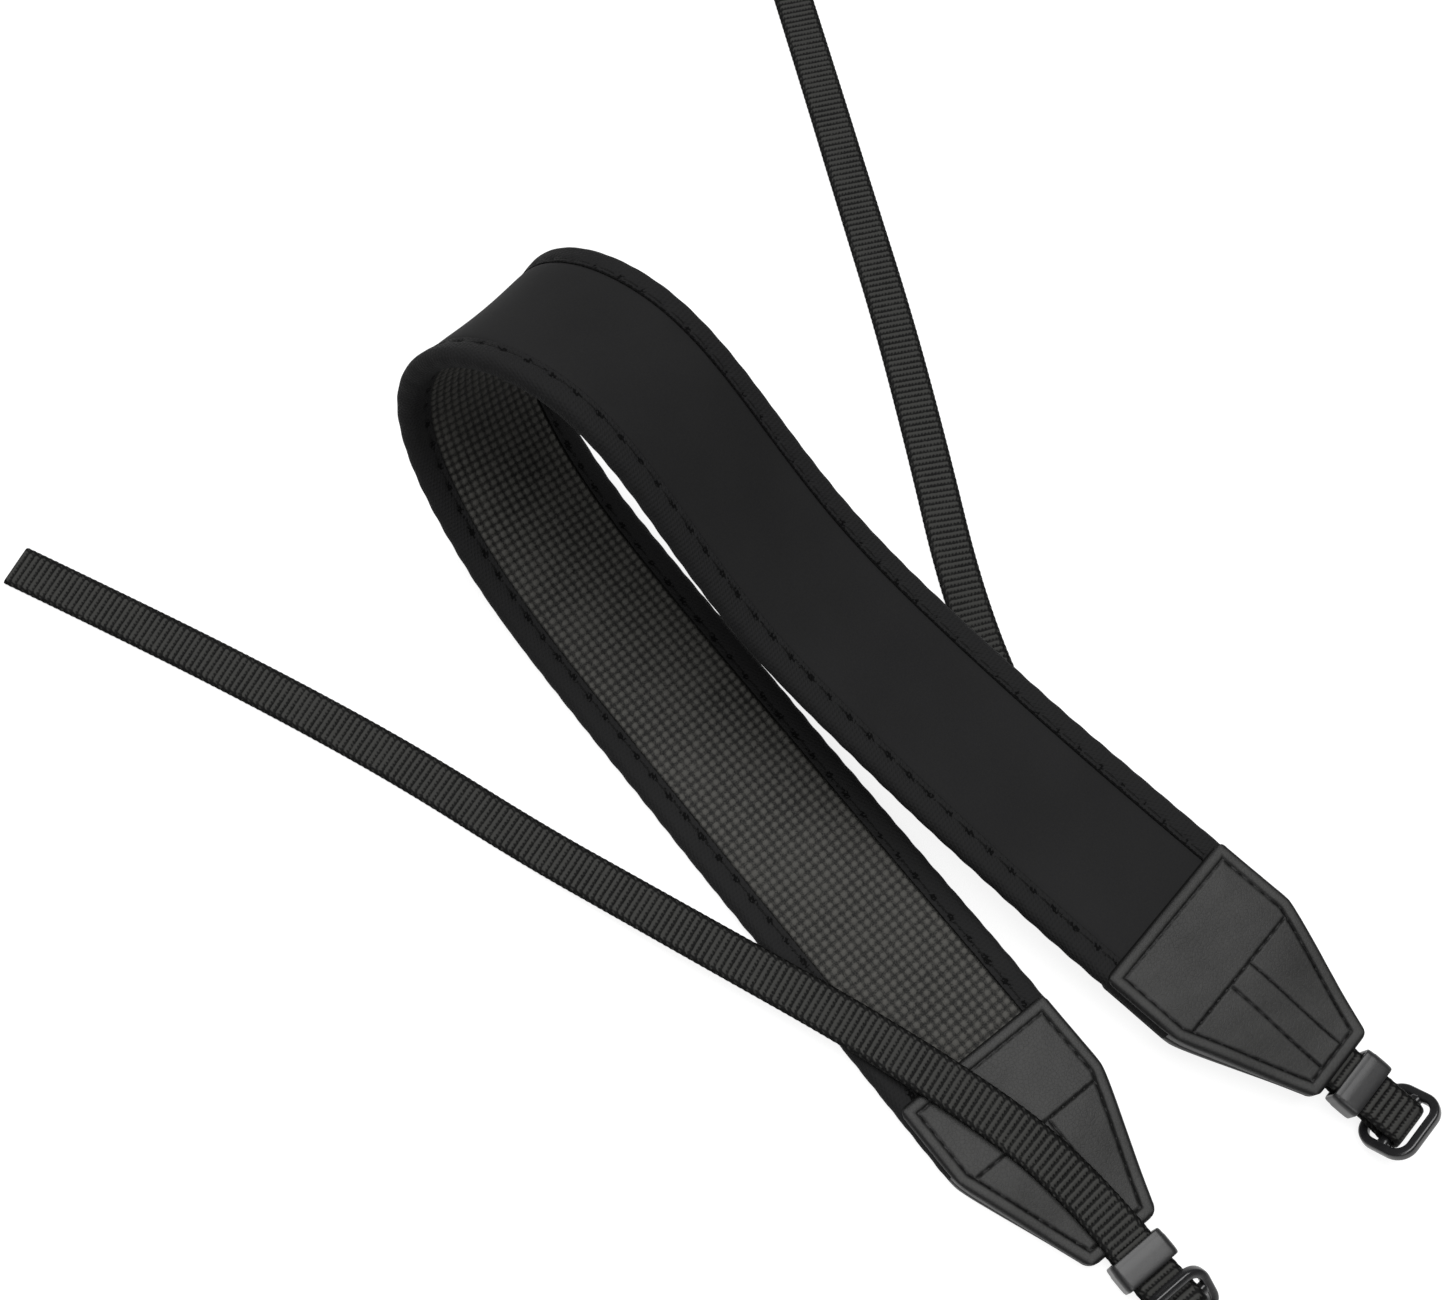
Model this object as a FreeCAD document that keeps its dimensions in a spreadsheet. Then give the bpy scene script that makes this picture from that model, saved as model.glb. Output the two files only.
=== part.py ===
import FreeCAD, Part
import math
import os

import Sketcher
from FreeCAD import Matrix, Placement, Rotation, Vector

# Padded neck strap: a long foam pad folded over itself, a leather end at each
# end of it, and at each leather end a webbing that runs through a keeper, round
# the centre bar of a tri-glide slider and back out as a loose tail.
# Millimetres, +Z up, standing surface at Z = 0. The lower limb lies along +X
# from the fold to its leather end, mesh side up.

doc = FreeCAD.newDocument("NeckStrap")
sheet = doc.addObject("Spreadsheet::Sheet", "Sizes")

driving_sizes = [
    # pad
    ("pad_width", 40.0, "pad across, edge to edge"),
    ("pad_thickness", 5.0, "pad, all layers"),
    ("mesh_thickness", 0.8, "grip mesh on the inner face"),
    ("binding_width", 6.0, "edge tape, on each face"),
    ("binding_thickness", 0.6, "edge tape"),
    ("edge_round", 0.8, "easing of the padded edge"),
    ("stitch_inset", 4.8, "seam from the pad's edge"),
    ("thread_width", 0.7, "sewing thread"),
    ("thread_depth", 0.3, "thread sunk into the tape or leather"),
    # leather ends
    ("patch_length", 47.0, "leather end, along the strap"),
    ("patch_taper", 28.5, "tapering stretch of the leather end"),
    ("patch_width", 39.0, "leather end at its shoulders"),
    ("tip_width", 17.5, "leather end at its tip"),
    ("leather", 1.1, "one layer of leather"),
    ("tip_flat", 6.0, "stretch at the tip where the layers lie together"),
    ("ramp_end", 24.0, "from the tip to full thickness"),
    ("pad_cover", 16.5, "pad's end inside the leather"),
    # webbing
    ("webbing_width", 10.0, "webbing across"),
    ("webbing_thickness", 1.2, "webbing"),
    ("sewn_length", 26.0, "webbing between the leather layers"),
    ("bar_reach", 16.0, "leather tip to the slider's centre bar"),
    ("bar_clearance", 0.45, "webbing loop round the bar"),
    ("return_slope", 17.0, "fall of the returning layer, degrees"),
    ("tail_start", 1.0, "tail's start beyond the leather tip"),
    # keeper
    ("keeper_length", 6.0, "keeper along the webbing"),
    ("keeper_start", 2.0, "keeper from the leather tip"),
    ("keeper_wall", 1.1, "keeper's wall"),
    ("keeper_side", 1.3, "keeper's side wall"),
    ("keeper_clearance", 0.35, "keeper round the webbing"),
    ("keeper_round", 1.2, "keeper's outer corners"),
    # slider
    ("slider_length", 13.0, "slider along the webbing"),
    ("slider_side", 2.3, "slider's side rails"),
    ("slider_thickness", 2.2, "slider's frame"),
    ("frame_bar", 2.0, "slider's end bars"),
    ("centre_bar", 2.2, "slider's centre bar"),
    ("slot_clearance", 0.7, "slider's slots beside the webbing"),
    ("slider_corner", 4.4, "slider's outer corners"),
    # lie of the strap
    ("shift_x", -45.0, "route's offset to the footprint's centre"),
    ("shift_y", -8.9, "route's offset to the footprint's centre"),
]
for row, (alias, number, note) in enumerate(driving_sizes, start=1):
    sheet.set("A%d" % row, note)
    sheet.set("B%d" % row, str(number))
    sheet.setAlias("B%d" % row, alias)
doc.recompute()


class Size:
    """A number with the sheet expression that gives it."""

    def __init__(self, number, text):
        self.number = float(number)
        self.text = text

    def _join(self, other, sign, result):
        if isinstance(other, Size):
            text = other.text
        else:
            text = repr(float(other))
        return Size(result, "(%s %s %s)" % (self.text, sign, text))

    def __add__(self, other):
        return self._join(other, "+", self.number + float(other))

    def __sub__(self, other):
        return self._join(other, "-", self.number - float(other))

    def __mul__(self, other):
        return self._join(other, "*", self.number * float(other))

    def __truediv__(self, other):
        return self._join(other, "/", self.number / float(other))

    def __neg__(self):
        return Size(-self.number, "(-1 * %s)" % self.text)

    def __float__(self):
        return self.number


def size(alias):
    return Size(float(sheet.get(alias)), "Sizes.%s" % alias)


zero = Size(0.0, "0")

# ---------------------------------------------------------------- ends of the strap

# Leather tips: place (x, y, rise over the lower tip) and yaw, dip and roll of the end,
# whose own frame has +X out along the webbing and +Z on the pad's mesh side.
ends = {
    "left": {"tip": (150.0, -16.5, 0.0), "turn": (0.0, 0.0, 0.0), "slider_tilt": 42.0},
    "right": {"tip": (151.5, 40.0, 5.5), "turn": (10.5, 5.0, 180.0), "slider_tilt": 44.0},
}


def shifted(x, y, z):
    return Vector(x + float(size("shift_x")), y + float(size("shift_y")), z)


def end_placement(side):
    yaw, dip, roll = ends[side]["turn"]
    x, y, rise = ends[side]["tip"]
    lying = float(size("pad_thickness") / 2 + size("leather"))
    return Placement(shifted(x, y, lying + rise), Rotation(yaw, dip, roll))


# ---------------------------------------------------------------- route of the pad

# The pad's middle line between its two ends: x, y, rise over the lying pad's middle,
# and how its width direction leans per millimetre of Y, along X and along Z. They are the poles of a cubic
# B-spline: flat on the ground, up and over the fold, and down the upper limb.
fold_poles = [
    (60.0, -16.5, 0.0, 0.0, 0.0),
    (30.0, -16.5, 0.0, 0.0, 0.0),
    (1.0, -16.5, 0.0, 0.0, 0.0),
    (-28.0, -16.5, 0.2, 0.0, -0.01),
    (-57.0, -16.0, 5.5, 0.0, -0.17),
    (-81.0, -13.0, 28.0, -0.14, -0.32),
    (-74.0, -3.5, 59.5, -0.32, -0.22),
    (-43.0, 7.5, 67.0, -0.3, -0.27),
    (-18.0, 10.5, 49.5, -0.28, -0.24),
    (5.5, 13.0, 32.5, -0.23, -0.16),
    (33.0, 18.0, 23.0, -0.21, -0.12),
    (61.0, 23.5, 15.5, -0.19, -0.05),
]
straight_poles = [0.0, 10.0, 20.0, 32.0]   # back from the pad's end, on the end's own line
stations = 41


def end_poles(side, across):
    """Poles on an end's own line, where the pad runs into the leather."""
    place = end_placement(side)
    pad_end = float(size("patch_length") - size("pad_cover"))
    direction = place.Rotation.multVec(Vector(0, across, 0))
    found = []
    for back in straight_poles:
        middle = place.multVec(Vector(-pad_end - back, 0, 0))
        found.append((middle, direction))
    return found


def route_curves():
    """Middle line and width direction of the pad, as B-splines over one parameter."""
    middles = []
    leans = []
    for middle, direction in end_poles("left", 1.0):
        middles.append(middle)
        leans.append(direction)
    lying = float(size("pad_thickness")) / 2
    for x, y, rise, skew, drop in fold_poles:
        middles.append(shifted(x, y, lying + rise))
        leans.append(Vector(skew, 1.0, drop))
    for middle, direction in reversed(end_poles("right", -1.0)):
        middles.append(middle)
        leans.append(direction)
    line = Part.BSplineCurve()
    line.buildFromPoles(middles, False, 3)
    lean = Part.BSplineCurve()
    lean.buildFromPoles(leans, False, 3)
    return line, lean


def section_frames():
    """Placements of the pad's cross-sections: X across the pad, Y to its mesh side."""
    line, lean = route_curves()
    frames = []
    for index in range(stations):
        at = line.FirstParameter + (line.LastParameter - line.FirstParameter) * index / (stations - 1)
        along = line.tangent(at)[0]
        across = lean.value(at)
        across = across - along * across.dot(along)
        across.normalize()
        mesh_side = across.cross(along)
        normal = across.cross(mesh_side)
        middle = line.value(at)
        frames.append(Placement(Matrix(
            across.x, mesh_side.x, normal.x, middle.x,
            across.y, mesh_side.y, normal.y, middle.y,
            across.z, mesh_side.z, normal.z, middle.z,
            0, 0, 0, 1)))
    return frames


# ---------------------------------------------------------------- sketch helpers

def pin_point(sketch, geometry, point, x, y):
    """Ties one sketch point to its two sizes."""
    for kind, axis, value in (("DistanceX", -2, x), ("DistanceY", -1, y)):
        if abs(float(value)) < 1e-9:
            sketch.addConstraint(Sketcher.Constraint("PointOnObject", geometry, point, axis))
            continue
        if float(value) > 0:
            made = sketch.addConstraint(Sketcher.Constraint(
                kind, -1, 1, geometry, point, float(value)))
            text = value.text
        else:
            made = sketch.addConstraint(Sketcher.Constraint(
                kind, geometry, point, -1, 1, -float(value)))
            text = (-value).text
        sketch.setExpression("Constraints[%d]" % made, text)


def outline(sketch, corners):
    """Closed outline through corners given as pairs of sizes."""
    count = len(corners)
    first = sketch.GeometryCount
    for index in range(count):
        here, there = corners[index], corners[(index + 1) % count]
        sketch.addGeometry(Part.LineSegment(
            Vector(float(here[0]), float(here[1]), 0),
            Vector(float(there[0]), float(there[1]), 0)))
    for index in range(count):
        sketch.addConstraint(Sketcher.Constraint(
            "Coincident", first + index, 2, first + (index + 1) % count, 1))
    for index in range(count):
        pin_point(sketch, first + index, 1, corners[index][0], corners[index][1])


def body_sketch(body, name, plane):
    """Sketch on one of the body's own origin planes."""
    sketch = body.newObject("Sketcher::SketchObject", name)
    support = [item for item in body.Origin.OriginFeatures if item.Role == plane][0]
    sketch.AttachmentSupport = (support, [""])
    sketch.MapMode = "FlatFace"
    return sketch


def rectangle(low_x, high_x, low_y, high_y):
    return [(low_x, low_y), (high_x, low_y), (high_x, high_y), (low_x, high_y)]


def edges_along(shape, direction, accept):
    """Names of the straight edges along a direction whose middle is accepted."""
    names = []
    for index, edge in enumerate(shape.Edges, start=1):
        if edge.Curve.TypeId != "Part::GeomLine":
            continue
        if abs(abs(edge.tangentAt(edge.FirstParameter).dot(direction)) - 1.0) > 1e-6:
            continue
        if accept(edge.CenterOfMass):
            names.append("Edge%d" % index)
    return names


def round_edges(body, base, names, radius, name):
    fillet = body.newObject("PartDesign::Fillet", name)
    fillet.Base = (base, names)
    fillet.Radius = float(radius)
    fillet.setExpression("Radius", radius.text)
    doc.recompute()
    return fillet


def bevel_edges(body, base, names, breadth, name):
    chamfer = body.newObject("PartDesign::Chamfer", name)
    chamfer.Base = (base, names)
    chamfer.Size = float(breadth)
    chamfer.setExpression("Size", breadth.text)
    doc.recompute()
    return chamfer


# ---------------------------------------------------------------- pad

half_width = size("pad_width") / 2
half_pad = size("pad_thickness") / 2
tape = size("binding_thickness")
tape_start = half_width - size("binding_width")


def section_sketch(name, corners):
    sketch = doc.addObject("Sketcher::SketchObject", name)
    outline(sketch, corners)
    return sketch


def carried(section, frames):
    """Closed solid of one outline carried through the frames, one ruled face per side."""
    steps = [float(index) for index in range(len(frames))]
    rails = []
    for corner in section.OrderedVertexes:
        rail = Part.BSplineCurve()
        rail.interpolate(Points=[frame.multVec(corner.Point) for frame in frames],
                         Parameters=steps)
        rails.append(rail.toShape())
    faces = []
    for index, rail in enumerate(rails):
        side = Part.makeRuledSurface(rail, rails[(index + 1) % len(rails)], 1).Surface.copy()
        side.exchangeUV()
        faces.append(side.toShape())
    for end_vertex in (0, -1):
        corners = [rail.Vertexes[end_vertex].Point for rail in rails]
        faces.append(Part.Face(Part.makePolygon(corners + corners[:1])))
    shell = Part.Shell(faces)
    shell.sewShape()
    solid = Part.Solid(shell)
    if solid.Volume < 0:
        solid.reverse()
    return solid


def lofted(label, sketches):
    """Part of the pad: its cross-sections carried through every frame of the route."""
    doc.recompute()
    frames = section_frames()
    solids = [carried(sketch.Shape.Wires[0], frames) for sketch in sketches]
    feature = doc.addObject("Part::Feature", label)
    feature.Label = label
    feature.Shape = solids[0] if len(solids) == 1 else Part.makeCompound(solids)
    return feature


def make_core():
    inner = half_pad - tape
    mesh_seat = half_pad - size("mesh_thickness")
    edge = half_width - tape
    half = [(tape_start, mesh_seat), (tape_start, inner), (edge, inner),
            (edge, -inner), (tape_start, -inner), (tape_start, -half_pad)]
    other = [(-x, y) for x, y in reversed(half)]
    return lofted("pad_core", [section_sketch("CoreSection", half + other)])


def make_mesh():
    low = half_pad - size("mesh_thickness")
    return lofted("grip_mesh", [section_sketch(
        "MeshSection", rectangle(-tape_start, tape_start, low, half_pad))])


def make_binding(label, side):
    bulge = size("edge_round")
    seam = half_width - size("stitch_inset")
    thread = size("thread_width") / 2
    sunk = half_pad - size("thread_depth")
    upper = [(tape_start, half_pad - tape), (tape_start, half_pad),
             (seam - thread, half_pad), (seam - thread, sunk),
             (seam + thread, sunk), (seam + thread, half_pad),
             (half_width - bulge, half_pad), (half_width, half_pad - bulge)]
    lower = [(x, -y) for x, y in reversed(upper)]
    inside = half_width - tape
    corners = upper + lower + [(inside, -(half_pad - tape)), (inside, half_pad - tape)]
    if side < 0:
        corners = [(-x, y) for x, y in corners]
    return lofted(label, [section_sketch(label + "_section", corners)])


def make_edge_stitching(label, side):
    seam = half_width - size("stitch_inset")
    thread = size("thread_width") / 2
    sunk = half_pad - size("thread_depth")
    low, high = seam - thread, seam + thread
    if side < 0:
        low, high = -high, -low
    return lofted(label, [
        section_sketch(label + "_mesh_side", rectangle(low, high, sunk, half_pad)),
        section_sketch(label + "_face_side", rectangle(low, high, -half_pad, -sunk))])


# ---------------------------------------------------------------- leather ends

def house():
    """Outline of the leather end: straight sides, then a taper to the tip."""
    tip_half = size("tip_width") / 2
    side_half = size("patch_width") / 2
    return [(zero, -tip_half), (zero, tip_half), (-size("patch_taper"), side_half),
            (-size("patch_length"), side_half), (-size("patch_length"), -side_half),
            (-size("patch_taper"), -side_half)]


def flipped(corners, side):
    return [(x, y if side > 0 else -y) for x, y in corners]


def make_patch(label, side, end):
    """One layer of leather: side is +1 on the mesh side of the strap and -1 on its face."""
    body = doc.addObject("PartDesign::Body", label)
    body.Label = label
    full = half_pad + size("leather")
    thin = size("webbing_thickness") / 2 + size("leather")

    plan = body_sketch(body, label + "_plan", "XY_Plane")
    outline(plan, house())
    pad = body.newObject("PartDesign::Pad", label + "_leather")
    pad.Profile = plan
    pad.setExpression("Length", full.text)
    pad.Reversed = side < 0
    doc.recompute()

    round_edges(body, pad, edges_along(pad.Shape, Vector(0, 0, 1), lambda c: True),
                size("leather") * 2, label + "_corners")

    ramp = body_sketch(body, label + "_ramp", "XZ_Plane")
    outline(ramp, flipped([
        (Size(1.0, "1"), thin), (-size("tip_flat"), thin), (-size("ramp_end"), full),
        (-size("ramp_end"), full + 1.0), (Size(1.0, "1"), full + 1.0)], side))
    slope = body.newObject("PartDesign::Pocket", label + "_slope")
    slope.Profile = ramp
    slope.Type = "ThroughAll"
    slope.Midplane = True
    doc.recompute()

    pad_seat = body_sketch(body, label + "_pad_seat", "XZ_Plane")
    outline(pad_seat, flipped(rectangle(
        -size("patch_length") - 1.0, -size("patch_length") + size("pad_cover"),
        zero, half_pad), side))
    seat = body.newObject("PartDesign::Pocket", label + "_seat")
    seat.Profile = pad_seat
    seat.Type = "ThroughAll"
    seat.Midplane = True
    doc.recompute()

    half_web = size("webbing_width") / 2
    slot_sketch = body_sketch(body, label + "_slot", "XY_Plane")
    outline(slot_sketch, rectangle(-size("sewn_length"), Size(1.0, "1"), -half_web, half_web))
    slot = body.newObject("PartDesign::Pocket", label + "_webbing_slot")
    slot.Profile = slot_sketch
    slot.setExpression("Length", (size("webbing_thickness") / 2).text)
    slot.Reversed = side > 0
    doc.recompute()
    body.Tip = slot
    body.Placement = end_placement(end)
    return body


# ---------------------------------------------------------------- webbing, keeper, slider

def return_height():
    """Middle of the returning layer, which lies on the leather's tip."""
    return size("webbing_thickness") + size("leather")


def loop_radius():
    """Inner radius of the webbing loop, clear of the centre bar's corners."""
    return size("centre_bar") / 2 + size("bar_clearance") + 0.1


def make_anchor(label, end):
    """Sewn-in webbing: out to the slider, round its centre bar and back over itself."""
    body = doc.addObject("PartDesign::Body", label)
    body.Label = label
    thick = size("webbing_thickness")
    inner = loop_radius()
    outer = inner + thick
    bar_x = size("bar_reach")
    bar_z = thick / 2 + inner
    fall = math.radians(float(size("return_slope")))
    turn_end = math.pi / 2 + fall
    centre = Vector(float(bar_x), float(bar_z), 0)
    low = return_height() - thick / 2
    high = return_height() + thick / 2
    start_x = size("tail_start")

    def on_arc(radius):
        return centre + Vector(math.cos(turn_end), math.sin(turn_end), 0) * float(radius)

    def slope_foot(radius, level):
        top = on_arc(radius)
        run = (top.y - float(level)) / math.sin(fall)
        return top - Vector(math.cos(fall), math.sin(fall), 0) * run

    half = float(thick) / 2
    sketch = body_sketch(body, label + "_side", "XZ_Plane")
    sewn = -float(size("sewn_length"))
    points = {
        "a": Vector(sewn, -half, 0), "b": Vector(float(bar_x), -half, 0),
        "c": on_arc(outer), "d": slope_foot(outer, high), "e": Vector(float(start_x), float(high), 0),
        "f": Vector(float(start_x), float(low), 0), "g": slope_foot(inner, low), "h": on_arc(inner),
        "i": Vector(float(bar_x), half, 0), "j": Vector(sewn, half, 0)}

    def line(start, stop):
        sketch.addGeometry(Part.LineSegment(points[start], points[stop]))

    def arc(radius):
        circle = Part.Circle(centre, Vector(0, 0, 1), float(radius))
        sketch.addGeometry(Part.ArcOfCircle(circle, -math.pi / 2, turn_end))

    line("a", "b")       # 0
    arc(outer)           # 1
    line("c", "d")       # 2
    line("d", "e")       # 3
    line("e", "f")       # 4
    line("f", "g")       # 5
    line("g", "h")       # 6
    arc(inner)           # 7
    line("i", "j")       # 8
    line("j", "a")       # 9
    add = sketch.addConstraint
    for first, first_point, second, second_point in (
            (0, 2, 1, 1), (1, 2, 2, 1), (6, 2, 7, 2), (7, 1, 8, 1)):
        add(Sketcher.Constraint("Tangent", first, first_point, second, second_point))
    for first, second in ((2, 3), (3, 4), (4, 5), (5, 6), (8, 9)):
        add(Sketcher.Constraint("Coincident", first, 2, second, 1))
    add(Sketcher.Constraint("Coincident", 9, 2, 0, 1))
    add(Sketcher.Constraint("Coincident", 1, 3, 7, 3))
    for flat in (0, 3, 5, 8):
        add(Sketcher.Constraint("Horizontal", flat))
    add(Sketcher.Constraint("Vertical", 4))
    add(Sketcher.Constraint("Vertical", 9))
    add(Sketcher.Constraint("Parallel", 2, 6))

    def bound(constraint, value):
        sketch.setExpression("Constraints[%d]" % add(constraint), value.text)

    bound(Sketcher.Constraint("DistanceX", -1, 1, 1, 3, float(bar_x)), bar_x)
    bound(Sketcher.Constraint("Radius", 7, float(inner)), inner)
    bound(Sketcher.Constraint("Radius", 1, float(outer)), outer)
    bound(Sketcher.Constraint("DistanceY", -1, 1, 8, 2, half), thick / 2)
    bound(Sketcher.Constraint("DistanceX", 8, 2, -1, 1, -sewn), size("sewn_length"))
    bound(Sketcher.Constraint("DistanceX", -1, 1, 4, 1, float(start_x)), start_x)
    bound(Sketcher.Constraint("DistanceY", -1, 1, 4, 1, float(high)), high)
    bound(Sketcher.Constraint("DistanceY", -1, 1, 4, 2, float(low)), low)
    rise = add(Sketcher.Constraint("Angle", 6, fall))
    sketch.setExpression("Constraints[%d]" % rise, "Sizes.return_slope * 1 deg")

    pad = body.newObject("PartDesign::Pad", label + "_webbing")
    pad.Profile = sketch
    pad.setExpression("Length", size("webbing_width").text)
    pad.Midplane = True
    doc.recompute()
    body.Tip = pad
    body.Placement = end_placement(end)
    return body


def make_keeper(label, end):
    """Closed band that holds both layers of the webbing together."""
    body = doc.addObject("PartDesign::Body", label)
    body.Label = label
    gap = size("keeper_clearance")
    half_inner = size("webbing_width") / 2 + gap
    half_outer = half_inner + size("keeper_side")
    low_inner = -size("webbing_thickness") / 2 - gap
    high_inner = return_height() + size("webbing_thickness") / 2 + gap
    ring = body_sketch(body, label + "_ring", "YZ_Plane")
    outline(ring, rectangle(-half_outer, half_outer,
                            low_inner - size("keeper_wall"), high_inner + size("keeper_wall")))
    pad = body.newObject("PartDesign::Pad", label + "_block")
    pad.Profile = ring
    pad.setExpression("Length", size("keeper_length").text)
    doc.recompute()
    corners = round_edges(body, pad, edges_along(pad.Shape, Vector(1, 0, 0), lambda c: True),
                          size("keeper_round"), label + "_corners")
    rims = []
    for index, edge in enumerate(corners.Shape.Edges, start=1):
        middle = edge.CenterOfMass
        if abs(middle.x) < 1e-6 or abs(middle.x - float(size("keeper_length"))) < 1e-6:
            rims.append("Edge%d" % index)
    bevel_edges(body, corners, rims, size("keeper_wall") * 0.35, label + "_rims")
    window = body_sketch(body, label + "_window", "YZ_Plane")
    outline(window, rectangle(-half_inner, half_inner, low_inner, high_inner))
    hole = body.newObject("PartDesign::Pocket", label + "_hole")
    hole.Profile = window
    hole.Type = "ThroughAll"
    hole.Midplane = True
    doc.recompute()
    body.Tip = hole
    body.Placement = end_placement(end).multiply(
        Placement(Vector(float(size("keeper_start")), 0, 0), Rotation()))
    return body


def make_slider(label, end):
    """Tri-glide: an oval-cornered frame with a centre bar between two slots."""
    body = doc.addObject("PartDesign::Body", label)
    body.Label = label
    half_length = size("slider_length") / 2
    half_slot = size("webbing_width") / 2 + size("slot_clearance")
    half_across = half_slot + size("slider_side")
    plan = body_sketch(body, label + "_plan", "XY_Plane")
    outline(plan, rectangle(-half_length, half_length, -half_across, half_across))
    pad = body.newObject("PartDesign::Pad", label + "_plate")
    pad.Profile = plan
    pad.setExpression("Length", size("slider_thickness").text)
    pad.Midplane = True
    doc.recompute()
    corners = round_edges(body, pad, edges_along(pad.Shape, Vector(0, 0, 1), lambda c: True),
                          size("slider_corner"), label + "_corners")
    half_thick = float(size("slider_thickness")) / 2
    rims = []
    for index, edge in enumerate(corners.Shape.Edges, start=1):
        if abs(abs(edge.CenterOfMass.z) - half_thick) < 1e-6:
            rims.append("Edge%d" % index)
    bevel_edges(body, corners, rims, size("slider_thickness") * 0.25, label + "_rims")
    slots = body_sketch(body, label + "_slots", "XY_Plane")
    near = size("centre_bar") / 2
    far = half_length - size("frame_bar")
    outline(slots, rectangle(near, far, -half_slot, half_slot))
    outline(slots, rectangle(-far, -near, -half_slot, half_slot))
    cut = body.newObject("PartDesign::Pocket", label + "_open_slots")
    cut.Profile = slots
    cut.Type = "ThroughAll"
    cut.Midplane = True
    doc.recompute()
    bar_edges = edges_along(
        cut.Shape, Vector(0, 1, 0),
        lambda c: abs(abs(c.x) - float(near)) < 1e-6)
    bar = round_edges(body, cut, bar_edges, size("slider_thickness") * 0.3, label + "_bar")
    body.Tip = bar
    bar_at = Vector(float(size("bar_reach")), 0,
                    float(size("webbing_thickness") / 2 + loop_radius()))
    tilt = Rotation(Vector(0, 1, 0), ends[end]["slider_tilt"])
    body.Placement = end_placement(end).multiply(Placement(bar_at, tilt))
    return body


# ---------------------------------------------------------------- loose tails

# Middle lines of the tails beyond their own end's line: x, y, height over what the
# webbing lies on, and how much of the pad's thickness is under it. One runs over the
# leather and the mesh, off the pad's edge and along the ground, and the other down
# under the raised limb and away behind it.
tail_routes = {
    "left": [
        (131.0, -18.0, 2.0, 1), (119.0, -20.5, 2.8, 1), (100.0, -26.5, 2.7, 1),
        (79.0, -34.0, 1.1, 1), (58.0, -42.5, 0.4, 1), (35.0, -51.5, 1.1, 0.5),
        (10.0, -61.0, 0.3, 0), (-20.0, -71.5, 0.0, 0), (-50.0, -84.0, 0.0, 0),
        (-84.0, -99.5, 0.0, 0), (-116.0, -115.0, 0.0, 0),
    ],
    "right": [
        (136.0, 37.1, 5.8, 0), (124.0, 35.4, 3.9, 0), (108.0, 34.2, 1.0, 0),
        (90.0, 34.5, 0.0, 0), (68.0, 37.0, 0.0, 0), (45.0, 42.0, 0.0, 0),
        (20.0, 52.0, 0.0, 0), (-10.0, 68.0, 0.0, 0), (-42.0, 84.2, 0.0, 0),
        (-75.0, 99.3, 0.0, 0), (-110.0, 115.5, 0.0, 0), (-145.0, 131.4, 0.0, 0),
    ],
}


def tail_points(end):
    level = float(return_height())
    lead = [end_placement(end).multVec(Vector(x, 0, level))
            for x in (float(size("tail_start")), -float(size("tip_flat")))]
    lying = float(size("webbing_thickness")) / 2
    pad = float(size("pad_thickness"))
    return lead + [shifted(x, y, lying + rise + share * pad)
                   for x, y, rise, share in tail_routes[end]]


def rounded_route(points):
    """Straight runs joined by tangent arcs, each as large as its two runs allow."""
    edges = []
    radii = []
    last = points[0]
    for index in range(1, len(points) - 1):
        before = points[index - 1] - points[index]
        after = points[index + 1] - points[index]
        reach = 0.45 * min(before.Length, after.Length)
        before.normalize()
        after.normalize()
        half_turn = (math.pi - before.getAngle(after)) / 2
        radii.append(reach / math.tan(half_turn))
        start = points[index] + before * reach
        stop = points[index] + after * reach
        bisector = before + after
        bisector.normalize()
        middle = points[index] + bisector * (radii[-1] / math.cos(half_turn) - radii[-1])
        edges.append(Part.LineSegment(last, start).toShape())
        edges.append(Part.Arc(start, middle, stop).toShape())
        last = stop
    edges.append(Part.LineSegment(last, points[-1]).toShape())
    return Part.Wire(edges), radii


def make_tail(label, end):
    points = tail_points(end)
    route, radii = rounded_route(points)
    along = points[1] - points[0]
    along.normalize()
    across = Vector(0, 0, 1).cross(along)
    across.normalize()
    thick = along.cross(across)
    half_across = across * (float(size("webbing_width")) / 2)
    half_thick = thick * (float(size("webbing_thickness")) / 2)
    corners = [points[0] + half_across + half_thick, points[0] - half_across + half_thick,
               points[0] - half_across - half_thick, points[0] + half_across - half_thick]
    section = Part.makePolygon(corners + corners[:1])
    pipe = Part.BRepOffsetAPI.MakePipeShell(route)
    pipe.setBiNormalMode(Vector(0, 0, 1))
    pipe.add(section)
    pipe.build()
    pipe.makeSolid()
    feature = doc.addObject("Part::Feature", label)
    feature.Label = label
    feature.Shape = Part.Solid(pipe.shape())
    expected = float(size("webbing_width") * size("webbing_thickness")) * route.Length
    print("%s: length %.1f, radii %s, volume %.1f of %.1f" % (
        label, route.Length, ", ".join("%.0f" % radius for radius in radii),
        feature.Shape.Volume, expected))
    return feature


# ---------------------------------------------------------------- build

nodes = [
    make_core(),
    make_mesh(),
    make_binding("edge_binding_near", -1),
    make_binding("edge_binding_far", 1),
    make_edge_stitching("edge_stitching_near", -1),
    make_edge_stitching("edge_stitching_far", 1),
]
for end in ("left", "right"):
    nodes.append(make_patch("face_patch_" + end, -1, end))
    nodes.append(make_patch("inner_patch_" + end, 1, end))
    nodes.append(make_anchor("webbing_loop_" + end, end))
    nodes.append(make_keeper("keeper_" + end, end))
    nodes.append(make_slider("slider_" + end, end))
    nodes.append(make_tail("webbing_tail_" + end, end))

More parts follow.
